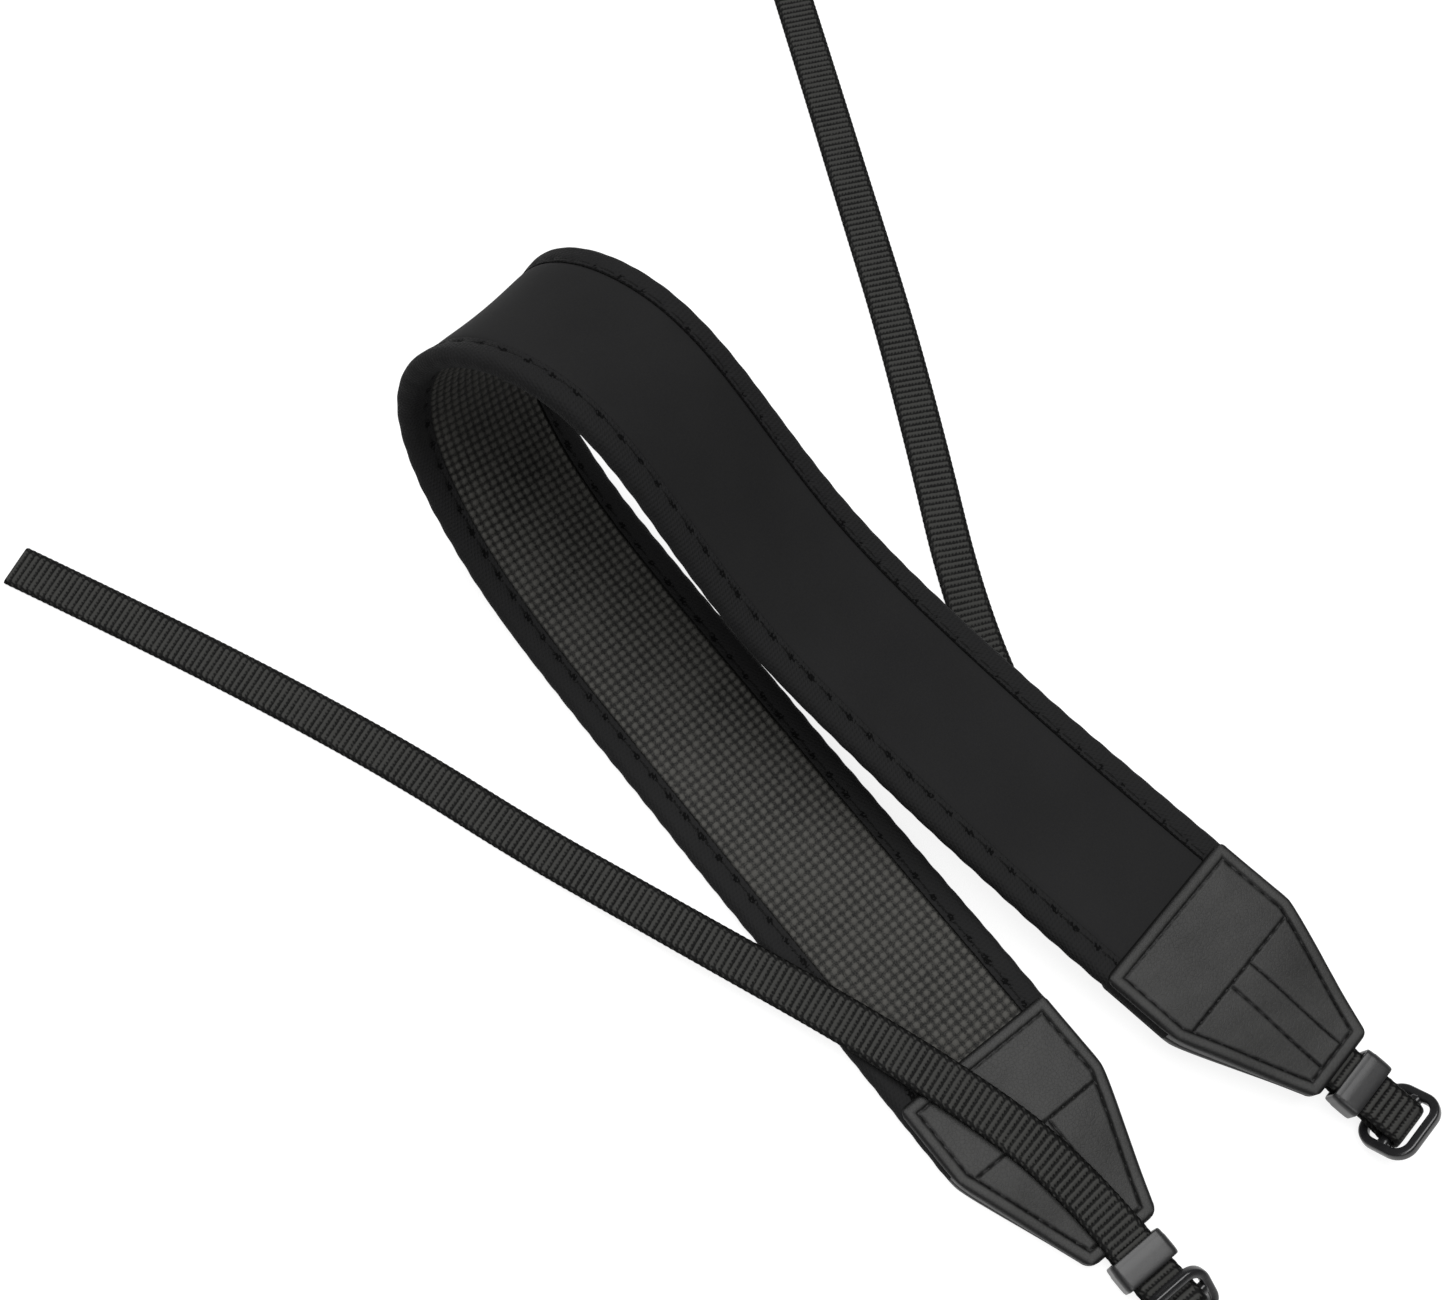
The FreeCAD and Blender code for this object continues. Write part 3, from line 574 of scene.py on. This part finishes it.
core = dict(
    step=1.0, faceHalf=13.9, faceLevel=2.05, crown=0.43, ripple=0.07, rippleTurn=0.16, seed=3,
    edge=[(14.2, -1.95), (16.5, -1.9), (19.2, -1.75), (19.3, 0.0), (19.2, 1.7)],   # under the tape
    back=[(14.3, 1.8), (13.9, 1.72), (13.0, 1.72)],   # under the mesh
)


def makePadCore():
    # outline: a face crowned by (1 - t^6)^(1/2) between the tapes, and a flat back under the mesh,
    # with a slow ripple over the face alone
    frames = padFrames(core["step"])
    t = np.linspace(-1, 1, 45)
    crown = np.sqrt(np.clip(1 - t ** 6, 0, 1))
    face = np.stack([t * core["faceHalf"], -(core["faceLevel"] + core["crown"] * crown)], -1)
    right, back = np.array(core["edge"]), np.array(core["back"])
    mirror = np.array([-1, 1])
    flatA = np.linspace(back[-1, 0], -back[-1, 0], 9)
    flat = np.stack([flatA, np.full(len(flatA), back[-1, 1])], -1)
    outline = np.vstack([right[::-1] * mirror, face, right, back[:-1], flat, back[-2::-1] * mirror])
    section = np.tile(outline, (len(frames["s"]), 1, 1))
    onFace = np.abs(outline[:, 1]) > 2.0
    ripple = waver(frames["s"], core["ripple"], core["seed"])[:, None]
    section[..., 1] += ripple * onFace * np.cos(outline[:, 0] * core["rippleTurn"])
    section[..., 1] = np.maximum(section[..., 1], -pad["halfThick"])
    run = np.broadcast_to(frames["s"][:, None], section.shape[:2])
    lay = np.stack([section[..., 0], run, np.zeros(run.shape)], -1)
    made = addTube("pad", onPad(frames, section), lay, materials["neoprene"])
    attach(made, "strap")
    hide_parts("pad_core")


meshLook = dict(half=13.95, across=14, pitch=1.92, samples=5, height=0.55, hem=0.9, under=1.65,
                least=0.7, seed=21)


def makeGripMesh():
    # nubs: (|sin| along * |sin| across)^1.25, so every crossing is a small mound, each a little
    # unlike the next, and they die away into the hem under the tape
    frames = padFrames(meshLook["pitch"] / meshLook["samples"])
    half, samples = meshLook["half"], meshLook["samples"]
    a = np.linspace(-half, half, meshLook["across"] * samples + 1)
    row = np.abs(np.sin(np.pi * (np.arange(len(frames["s"])) + 0.5) / samples))[:, None]
    column = np.abs(np.sin(np.pi * (np.arange(len(a)) + 0.5) / samples))[None]
    draw = np.random.default_rng(meshLook["seed"])
    uneven = draw.uniform(meshLook["least"], 1.0, (len(frames["s"]) // samples + 1, meshLook["across"] + 1))
    uneven = np.repeat(np.repeat(uneven, samples, 0), samples, 1)[:len(row), :len(a)]
    nub = (row * column) ** 1.25 * uneven
    hem = ease(0.0, meshLook["hem"], half - np.abs(a))[None]
    top = pad["halfThick"] - meshLook["height"] * (1.0 - nub * hem)
    under = np.full((len(frames["s"]), 2), meshLook["under"])
    section = np.stack([
        np.concatenate([np.tile(a, (len(top), 1)), np.tile([half, -half], (len(top), 1))], 1),
        np.concatenate([top, under], 1)], -1)
    # painted shade: the colour runs dark into the valleys between nubs and into the hem, and light on the nub
    # tops
    proud = np.concatenate([nub * hem, np.zeros((len(top), 2))], 1)
    lay = np.stack([section[..., 0], np.repeat(frames["s"][:, None], section.shape[1], 1), proud], -1)
    made = addTube("pad_mesh", onPad(frames, section), lay, materials["mesh"])
    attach(made, "strap")
    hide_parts("grip_mesh")


tapeLook = dict(
    step=0.5, stitchPitch=5.8, edgeRadius=2.15,
    pucker=0.55, puckerWidth=0.8, puckerRest=0.35,   # rest: the share that stays between two holes
    lip=0.16, lipWidth=0.5, pull=0.16, pullFrom=17.6, pullOver=2.4, waver=0.12, seeds=(6, 5),
    # seamShade, farSeamShade, holeShade: painted shade in the seam's puckers and in the stitch holes
    hole=0.85, holeShade=0.4, seamShade=0.35, farSeamShade=0.1,
    # shadowLine, shadowLineWidth, shadowLineDark: a painted shadow line along the far face where the tape
    # ends
    shadowLine=0.1, shadowLineWidth=0.36, shadowLineDark=0.95,
    inner=[(14.0, -1.85), (16.5, -1.85), (18.6, -1.5), (19.0, 0.0),
           (18.6, 1.5), (16.5, 1.85), (14.0, 1.85)],
)


def tapeOutline():
    # half outline of the folded tape: flat on the mesh side, a touch fuller than an ellipse round
    # the padded edge, and flat on the face
    radius, half = tapeLook["edgeRadius"], pad["halfThick"]
    straight = pad["halfWidth"] - radius
    top = np.linspace(pad["tapeStart"], straight, 17)
    bulge = np.radians(np.linspace(90, -90, 25)[1:-1])
    fullness = 0.96 + 0.04 * half / radius
    outer = np.vstack([
        np.stack([top, np.full(len(top), half)], -1),
        np.stack([straight + radius * np.cos(bulge), half * np.sin(bulge) * fullness], -1),
        np.stack([top[::-1], np.full(len(top), -half)], -1)])
    return outer, np.array(tapeLook["inner"])


def makeTape(name, node, side):
    # outline, sunk by pucker * beat * exp(-(distance from seam)^2) at every stitch, its lips turned in
    # and its edge pulled in a little; painted shade darkens the puckered seam and the stitch holes, and a
    # painted shadow line runs along the far face where the tape ends
    frames = padFrames(tapeLook["step"])
    outer, inner = tapeOutline()
    seam = pad["halfWidth"] - pad["seamInset"]
    run = frames["s"]
    beat = 0.5 + 0.5 * np.cos(2 * np.pi * run / tapeLook["stitchPitch"])
    onFlat = np.abs(outer[:, 1]) > 2.2
    dent = np.exp(-((outer[:, 0] - seam) / tapeLook["puckerWidth"]) ** 2) * onFlat
    rest = tapeLook["puckerRest"]
    sunk = tapeLook["pucker"] * (rest + (1 - rest) * beat ** 2)[:, None] * dent[None]
    lip = tapeLook["lip"] * np.exp(-((outer[:, 0] - pad["tapeStart"]) / tapeLook["lipWidth"]) ** 2) * onFlat
    edge = np.clip((outer[:, 0] - tapeLook["pullFrom"]) / tapeLook["pullOver"], 0, 1)
    slow = waver(run, tapeLook["waver"], tapeLook["seeds"][side > 0])
    pull = (tapeLook["pull"] * (beat - 0.5) + slow)[:, None] * edge[None]
    a = outer[None, :, 0] - np.clip(pull + 0.05, 0, 1)
    b = outer[None, :, 1] * np.ones((len(run), 1))
    b = b - np.sign(b) * (sunk + lip[None])
    section = np.stack([np.concatenate([a, np.tile(inner[:, 0], (len(run), 1))], 1) * side,
                        np.concatenate([b, np.tile(inner[:, 1], (len(run), 1))], 1)], -1)
    wrap = lengthAlong(np.vstack([outer, inner]))
    phase = (run + tapeLook["stitchPitch"] / 2) % tapeLook["stitchPitch"] - tapeLook["stitchPitch"] / 2
    hole = np.exp(-(phase / tapeLook["hole"]) ** 2)[:, None] * dent[None]
    farFace = onFlat & (outer[:, 1] < 0) & (side > 0)
    # painted shadow: a dark line on the far face just past where the tape starts
    shadowLine = np.exp(-((outer[:, 0] - pad["tapeStart"] - tapeLook["shadowLine"]) / tapeLook["shadowLineWidth"]) ** 2)
    # painted shade: darker in the puckered seam and the stitch holes, and along the painted shadow line on
    # the far face
    paintedShade = (np.where(farFace, tapeLook["farSeamShade"], tapeLook["seamShade"]) * dent[None]
             + tapeLook["holeShade"] * hole + (tapeLook["shadowLineDark"] * shadowLine * farFace)[None])
    unshaded = np.concatenate([np.clip(1 - paintedShade, 0, 1), np.ones((len(run), len(inner)))], 1)
    lay = np.stack([np.tile(wrap, (len(run), 1)), np.repeat(run[:, None], len(wrap), 1), unshaded], -1)
    made = addTube(name, onPad(frames, section), lay, materials["tape"])
    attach(made, "strap")
    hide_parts(node)


seamStitch = dict(length=4.3, width=0.6, height=0.4, dip=0.35, level=2.2, step=0.25)


def makeEdgeStitches(name, node, side):
    # one stitch between every two holes, on both faces, raised or sunk with the band's hollow;
    # the second face's frame is the first's rolled over about the seam, so that all wind alike
    frames = padFrames(seamStitch["step"])
    pitch = tapeLook["stitchPitch"]
    spots = np.arange(pitch / 2, frames["s"][-1] - pitch / 2, pitch)
    middle, along, across, mesh = [
        readAt(spots, frames["s"], frames[key]) for key in ("middle", "along", "across", "mesh")]
    along, across, mesh = unit(along), unit(across), unit(mesh)
    seam = side * (pad["halfWidth"] - pad["seamInset"])
    sag = padSag(np.interp(spots, frames["s"], frames["cup"]), seam)[:, None]
    both = [middle + across * seam + mesh * (face * seamStitch["level"] + sag) for face in (1, -1)]
    made = addStitches(name, np.vstack(both), np.vstack([along, along]), np.vstack([across, -across]),
                       np.vstack([mesh, -mesh]), seamStitch, materials["thread"])
    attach(made, "strap")
    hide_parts(node)


makePadCore()
makeGripMesh()
for side, label in ((-1, "near"), (1, "far")):
    makeTape("tape_" + label, "edge_binding_" + label, side)
    makeEdgeStitches("seam_" + label, "edge_stitching_" + label, side)
print("pad made")


leather = dict(
    length=47.0, taper=28.5, halfWidth=19.5, tipHalf=8.75, corner=2.2,
    full=3.6, thin=1.7, flat=6.0, ramp=24.0, cover=16.5, coverLevel=2.3,
    slotHalf=5.05, slotLevel=0.62, slotLength=26.0,
    rim=0.75, seam=2.8, bar=27.2, ribs=3.2, crown=0.18, sunk=0.3,
    groove=0.42, grooveWidth=0.34, swollen=0.6, swell=4.0,
    # edgeShade, edgeShadeDark: painted shade, the cut edges darkened as if in shade
    # rimHighlight, rimHighlightWidth, rimHighlightStrength: a painted highlight along the rolled rim
    edgeShade=0.8, edgeShadeDark=1.5, rimHighlight=1.3, rimHighlightWidth=0.8, rimHighlightStrength=0.25,
    # stretches of the length and how many rows each has, closest where the shape turns
    rows=[(0.0, 4.0, 28), (4.0, 19.0, 44), (19.0, 20.8, 13), (20.8, 43.0, 62), (43.0, 47.0, 28)],
    columns=181,
)
leather["slope"] = (leather["halfWidth"] - leather["tipHalf"]) / leather["taper"]
leather["lean"] = math.sqrt(1 + leather["slope"] ** 2)
leatherStitch = dict(length=2.65, width=0.36, height=0.3, dip=0.16, pitch=2.8)


def leatherHalf(x):
    # half width at each place: the smooth least of the straight and the tapering side,
    # less nearly a quarter circle's gap at both ends for the corners
    taper = leather["tipHalf"] - leather["slope"] * x
    half = -np.log(np.exp(-taper * 2.0) + np.exp(-leather["halfWidth"] * 2.0)) / 2.0
    for gap in (x + leather["length"], -x):
        missing = np.clip(leather["corner"] - gap, 0, leather["corner"])
        half = half - (leather["corner"] - np.sqrt(leather["corner"] ** 2 - missing ** 2)) * 0.9
    return half


def leatherEdge(x, y):
    # distance in from the outline: the least of the distances from its sides
    slanted = (leather["tipHalf"] - leather["slope"] * x - np.abs(y)) / leather["lean"]
    return np.minimum.reduce([x + leather["length"], -x, leather["halfWidth"] - np.abs(y), slanted])


def leatherGroove(x, y):
    # share of the sewn groove: the seam, the cross bar and the two ribs, each a bell across its line
    inside = leatherEdge(x, y)
    panel = ease(leather["seam"] - 0.4, leather["seam"] + 0.4, inside)
    ribs = ease(-leather["bar"] - 0.3, -leather["bar"] + 0.3, x) * panel
    width = leather["grooveWidth"]
    lines = [np.exp(-((inside - leather["seam"]) / width) ** 2),
             np.exp(-((x + leather["bar"]) / width) ** 2) * panel,
             np.exp(-((np.abs(y) - leather["ribs"]) / width) ** 2) * ribs]
    return np.maximum.reduce(lines), panel, ribs


def leatherTop(x, y):
    # height over the middle plane: a ramp down to the tip, less a rolled rim, a crowned border,
    # the sewn grooves and a panel that is sunk except over the webbing between the ribs
    inside = leatherEdge(x, y)
    rise = ease(leather["flat"] - 1, leather["ramp"] + 1, -x)
    base = leather["thin"] + (leather["full"] - leather["thin"]) * rise
    missing = np.clip(leather["rim"] - inside, 0, leather["rim"])
    top = base - (leather["rim"] - np.sqrt(leather["rim"] ** 2 - missing ** 2))
    offRim = np.clip(np.abs(2 * inside / leather["seam"] - 1), 0, 1)
    top = top - leather["crown"] * offRim ** 2 * (inside < leather["seam"])
    groove, panel, ribs = leatherGroove(x, y)
    beat = 0.8 + 0.2 * np.cos(2 * np.pi * (x + y) / leatherStitch["pitch"])
    swollen = leather["swollen"] * np.clip((inside - leather["seam"]) / leather["swell"], 0, 1)
    raised = (np.abs(y) < leather["ribs"]) * ribs
    top = top - leather["groove"] * beat * groove
    top = top - leather["sunk"] * panel * (1 - swollen) * (1 - raised)
    return top + 0.02 * np.sin(x * 0.9 + y * 0.5) - 0.02


def makeLeather(name, node, end, side):
    # a grid over length x and share of the width v: y = v * half width, z = leatherTop,
    # closed by an underside that clears the pad it covers and the webbing's slot
    rows = [np.linspace(*stretch) for stretch in leather["rows"]]
    step = np.array([leather["cover"] - 0.1, leather["cover"] + 0.1])
    x = -leather["length"] + np.unique(np.concatenate(rows + [step]))
    v = np.linspace(-1, 1, leather["columns"])
    half = leatherHalf(x)
    y = half[:, None] * v[None]
    top = leatherTop(np.repeat(x[:, None], len(v), 1), y)
    covered = x < -leather["length"] + leather["cover"]
    low = np.where(covered, leather["coverLevel"], 0.0)
    slot = np.where(covered | (x < -leather["slotLength"]), low, leather["slotLevel"])
    web = np.minimum(leather["slotHalf"], half - 0.5)
    underY = np.stack([half, web + 0.1, web, -web, -web - 0.1, -half], -1)
    underZ = np.stack([low, low, slot, slot, low, low], -1)
    top = np.maximum(top, low[:, None] + 0.05)
    section = np.stack([np.concatenate([y, underY], 1), np.concatenate([top, underZ], 1) * side], -1)
    grid = np.stack([np.repeat(x[:, None], section.shape[1], 1), section[..., 0], section[..., 1]], -1)
    lay = grid.copy()
    inside = leatherEdge(grid[..., 0], grid[..., 1])
    # painted highlight: a lighter band along the rolled rim
    rimHighlight = leather["rimHighlightStrength"] * np.exp(-((inside - leather["rimHighlight"]) / leather["rimHighlightWidth"]) ** 2)
    # painted shade: the colour runs dark towards the cut edge
    edgeShade = leather["edgeShadeDark"] * np.exp(-(inside / leather["edgeShade"]) ** 2)
    # painted shade: the sewn grooves are darkened in colour as well as sunk
    lay[..., 2] = rimHighlight - edgeShade - leatherGroove(grid[..., 0], grid[..., 1])[0]
    made = addTube(name, fromEnd(end, grid), lay, materials["leather"])
    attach(made, "strap")
    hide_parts(node)


def seamCorners():
    # corners of the perimeter seam, which runs a fixed distance in from the outline
    inset, slope, lean = leather["seam"], leather["slope"], leather["lean"]
    tip = leather["tipHalf"] - inset * (lean - slope)
    shoulder = -leather["taper"] - inset * (lean - 1) / slope
    side = leather["halfWidth"] - inset
    back = -leather["length"] + inset
    return [(-inset, -tip), (-inset, tip), (shoulder, side), (back, side), (back, -side), (shoulder, -side)]


def leatherSeams():
    # straight runs of thread: round the perimeter, along the cross bar and along the two ribs
    corners = seamCorners()
    runs = list(zip(corners, corners[1:] + corners[:1]))
    side = leather["halfWidth"] - leather["seam"]
    slanted = leather["tipHalf"] + leather["slope"] * leather["bar"] - leather["seam"] * leather["lean"]
    reach = min(side, slanted)
    runs.append(((-leather["bar"], -reach), (-leather["bar"], reach)))
    for rib in (-leather["ribs"], leather["ribs"]):
        runs.append(((-leather["bar"], rib), (-leather["seam"], rib)))
    return runs


def makeLeatherStitches(name, end, side):
    # stitches evenly along every run, at leatherTop's height and tilted by its slope along the run
    spots, along = [], []
    for first, last in leatherSeams():
        first, last = np.array(first), np.array(last)
        length = np.linalg.norm(last - first)
        count = max(2, int(round(length / leatherStitch["pitch"])))
        share = (np.arange(count) + 0.5) / count
        spots.append(first + (last - first) * share[:, None])
        along.append(np.tile((last - first) / length, (count, 1)))
    spots, along = np.vstack(spots), np.vstack(along)
    level = leatherTop(*spots.T)
    reach = 0.8
    climb = (leatherTop(*(spots + along * reach).T) - leatherTop(*(spots - along * reach).T)) / (2 * reach)
    way = unit(np.stack([along[:, 0], along[:, 1], climb * side], -1))
    up = unit(np.stack([-along[:, 0] * climb, -along[:, 1] * climb, np.full(len(climb), float(side))], -1))
    points = np.stack([spots[:, 0], spots[:, 1], (level - 0.02) * side], -1)
    turn = endTurn(end)
    made = addStitches(name, fromEnd(end, points), way @ turn.T, np.cross(way, up) @ turn.T, up @ turn.T,
                       leatherStitch, materials["thread"])
    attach(made, "strap")


for end in ends:
    for side, label, stem in ((-1, "face", "face_patch_"), (1, "inner", "inner_patch_")):
        makeLeather("leather_%s_%s" % (label, end), stem + end, end, side)
        makeLeatherStitches("leather_seam_%s_%s" % (label, end), end, side)
print("leather made")


def roundedLoop(halfA, halfB, radius, count):
    # rounded rectangle: corner centres plus a turning radius, with the outward direction at each point
    angle = []
    for quarter in range(4):
        angle.append(np.radians(np.linspace(quarter * 90, quarter * 90 + 90, count)))
    angle = np.concatenate(angle)
    corner = np.repeat([(1, 1), (-1, 1), (-1, -1), (1, -1)], count, axis=0)
    out = np.stack([np.cos(angle), np.sin(angle)], -1)
    centre = corner * np.array([halfA - radius, halfB - radius])
    return centre + radius * out, out


def softBox(power, count):
    # squared circle: cos and sin, each raised to a small power with its sign kept
    angle = np.linspace(0, 2 * np.pi, count, endpoint=False)
    turn = np.stack([np.cos(angle), np.sin(angle)], -1)
    return np.sign(turn) * np.abs(turn) ** power


def denser(loop, out, most):
    # extra points on a closed outline, so that no run between two of them is much over the most
    points, ways = [], []
    for here, there, a, b in zip(loop, np.roll(loop, -1, 0), out, np.roll(out, -1, 0)):
        count = max(1, int(np.linalg.norm(there - here) / most))
        share = (np.arange(count) / count)[:, None]
        points.append(here + (there - here) * share)
        ways.append(unit(a + (b - a) * share))
    return np.vstack(points), np.vstack(ways)


keeper = dict(start=2.0, length=6.0, halfY=6.65, low=-2.05, high=4.35, corner=1.5, wall=1.15,
              box=0.42, around=56, spacing=0.8, step=0.1, crown=0.02, inset=0.12)


def makeKeeper(end):
    # a squared section carried round a rounded rectangle: outline + outward * (depth + crown - inset)
    middle = (keeper["low"] + keeper["high"]) / 2
    halfHeight = (keeper["high"] - keeper["low"]) / 2
    loop, out = denser(*roundedLoop(keeper["halfY"], halfHeight, keeper["corner"], 9), keeper["spacing"])
    section = softBox(keeper["box"], keeper["around"])
    depth = -keeper["wall"] / 2 + keeper["wall"] / 2 * section[:, 1]
    x = keeper["start"] + keeper["length"] / 2 * (1 + section[:, 0])
    step = keeper["step"] * ease(-0.5, -0.38, section[:, 0])
    crown = (step + keeper["crown"] * (1 - section[:, 0] ** 2)) * (section[:, 1] > 0)
    ring = loop[:, None, :] + out[:, None, :] * (depth + crown - keeper["inset"])[None, :, None]
    grid = np.stack([np.tile(x, (len(loop), 1)), ring[..., 0], ring[..., 1] + middle], -1)
    made = addTube("keeper_" + end + "_band", fromEnd(end, grid), None, materials["keeper"], closed=True)
    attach(made, "keeper_" + end)
    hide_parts("keeper_" + end)


slider = dict(halfX=6.5, halfY=8.0, corner=4.4, rail=2.05, thick=2.2, box=0.5, around=28, spacing=0.8,
              bar=2.2, barHalf=6.4, barFlare=0.12, flareFrom=5.0, barBox=0.62, barRows=30)


def makeSlider(end):
    # a squared section carried round the rounded frame, and a flared bar across its middle,
    # both tilted about the bar and set where the webbing turns
    around, rows = slider["around"], slider["barRows"]
    outline = roundedLoop(slider["halfX"], slider["halfY"], slider["corner"], 12)
    loop, out = denser(*outline, slider["spacing"])
    section = softBox(slider["box"], around)
    inward = -slider["rail"] / 2 + slider["rail"] / 2 * section[:, 0]
    tall = slider["thick"] / 2 * section[:, 1]
    ring = loop[:, None, :] + out[:, None, :] * inward[None, :, None]
    frameGrid = np.concatenate([ring, np.broadcast_to(tall[None, :, None], ring.shape[:2] + (1,))], -1)
    barSection = softBox(slider["barBox"], around) * np.array([slider["bar"] / 2, slider["thick"] / 2])
    y = np.linspace(-slider["barHalf"], slider["barHalf"], rows)
    flare = 1 + slider["barFlare"] * ease(slider["flareFrom"], slider["barHalf"], np.abs(y))
    barGrid = np.stack([barSection[None, :, 0] * flare[:, None], np.repeat(y[:, None], around, 1),
                        np.tile(barSection[:, 1], (rows, 1))], -1)
    tilt = np.array(Matrix.Rotation(math.radians(ends[end]["sliderTilt"]), 3, "Y"))
    seat = np.array([webbing["barReach"], 0, webbing["barRadius"]])
    parts = [fromEnd(end, grid.reshape(-1, 3) @ tilt.T + seat) for grid in (frameGrid, barGrid)]
    frameQuads = gridQuads(len(loop), around, True)
    barQuads = gridQuads(rows, around)
    for part, quads in zip(parts, (frameQuads, barQuads)):
        if signedVolume(part - part.mean(axis=0), quads) < 0:
            quads[:] = quads[:, ::-1].copy()
    first = len(parts[0])
    last = first + (rows - 1) * around
    caps = [first + np.arange(around), last + np.arange(around)[::-1]]
    quads = np.vstack([frameQuads, barQuads + first])
    made = addMesh("slider_" + end + "_frame", np.vstack(parts), quads, caps, None, materials["slider"])
    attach(made, "slider_" + end)
    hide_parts("slider_" + end)


for end in ends:
    makeKeeper(end)
    makeSlider(end)
print("keepers and sliders made")


# shade: what the floor throws back; glow: what the camera and reflections see on top of that
floorLook = dict(shade=0.28, glow=0.84, rough=0.9, reach=30.0, level=-0.0001)
# fill: light from all round; seen: how much brighter the camera sees it
worldLook = dict(fill=0.14, seen=0.86)


def makeFloor():
    # white floor that the camera and reflections see brighter than it lights the strap
    material = bpy.data.materials.new("floor")
    material.use_nodes = True
    tree = material.node_tree
    shader = tree.nodes["Principled BSDF"]
    shader.inputs["Base Color"].default_value = (floorLook["shade"],) * 3 + (1,)
    shader.inputs["Roughness"].default_value = floorLook["rough"]
    path = tree.nodes.new("ShaderNodeLightPath")
    seen = addMath(tree, "MAXIMUM", path.outputs["Is Camera Ray"], path.outputs["Is Glossy Ray"])
    seen = addMath(tree, "MULTIPLY", seen, floorLook["glow"])
    shader.inputs["Emission Color"].default_value = (1, 1, 1, 1)
    tree.links.new(seen, shader.inputs["Emission Strength"])
    mesh = bpy.data.meshes.new("floor")
    reach, level = floorLook["reach"], floorLook["level"]
    corners = [(-reach, -reach, level), (reach, -reach, level), (reach, reach, level), (-reach, reach, level)]
    mesh.from_pydata(corners, [], [(0, 1, 2, 3)])
    mesh.materials.append(material)
    floor = bpy.data.objects.new("floor", mesh)
    bpy.context.collection.objects.link(floor)


def makeWorld():
    # strength = fill + seen * camera or transmission ray
    world = bpy.data.worlds.new("studio")
    world.use_nodes = True
    tree = world.node_tree
    back = tree.nodes["Background"]
    back.inputs["Color"].default_value = (1, 1, 1, 1)
    path = tree.nodes.new("ShaderNodeLightPath")
    seen = addMath(tree, "MAXIMUM", path.outputs["Is Camera Ray"], path.outputs["Is Transmission Ray"])
    strength = addMath(tree, "MULTIPLY_ADD", seen, worldLook["seen"], worldLook["fill"])
    tree.links.new(strength, back.inputs["Strength"])
    bpy.context.scene.world = world


lamps = {
    "overhead": dict(kind="SUN", place=(-0.26, 0.13, 1.0), aim=(0.0, 0.0, 0.0), spread=50.0, power=3.0),
    "side": dict(kind="AREA", place=(0.5, -0.45, 0.75), aim=(0.05, 0.0, 0.02), size=(0.5, 0.4), power=2.0),
}


def makeLamps():
    # every lamp looks from its place to its aim along its own -Z
    for name, look in lamps.items():
        data = bpy.data.lights.new(name, look["kind"])
        if look["kind"] == "SUN":
            data.angle = math.radians(look["spread"])
        else:
            data.shape = "RECTANGLE"
            data.size, data.size_y = look["size"]
        data.energy = look["power"]
        lamp = bpy.data.objects.new(name, data)
        lamp.location = look["place"]
        aim = Vector(look["aim"]) - Vector(look["place"])
        lamp.rotation_euler = aim.to_track_quat("-Z", "Y").to_euler()
        bpy.context.collection.objects.link(lamp)


makeFloor()
makeWorld()
makeLamps()
bpy.context.scene.view_settings.view_transform = "Standard"
print("stage made")
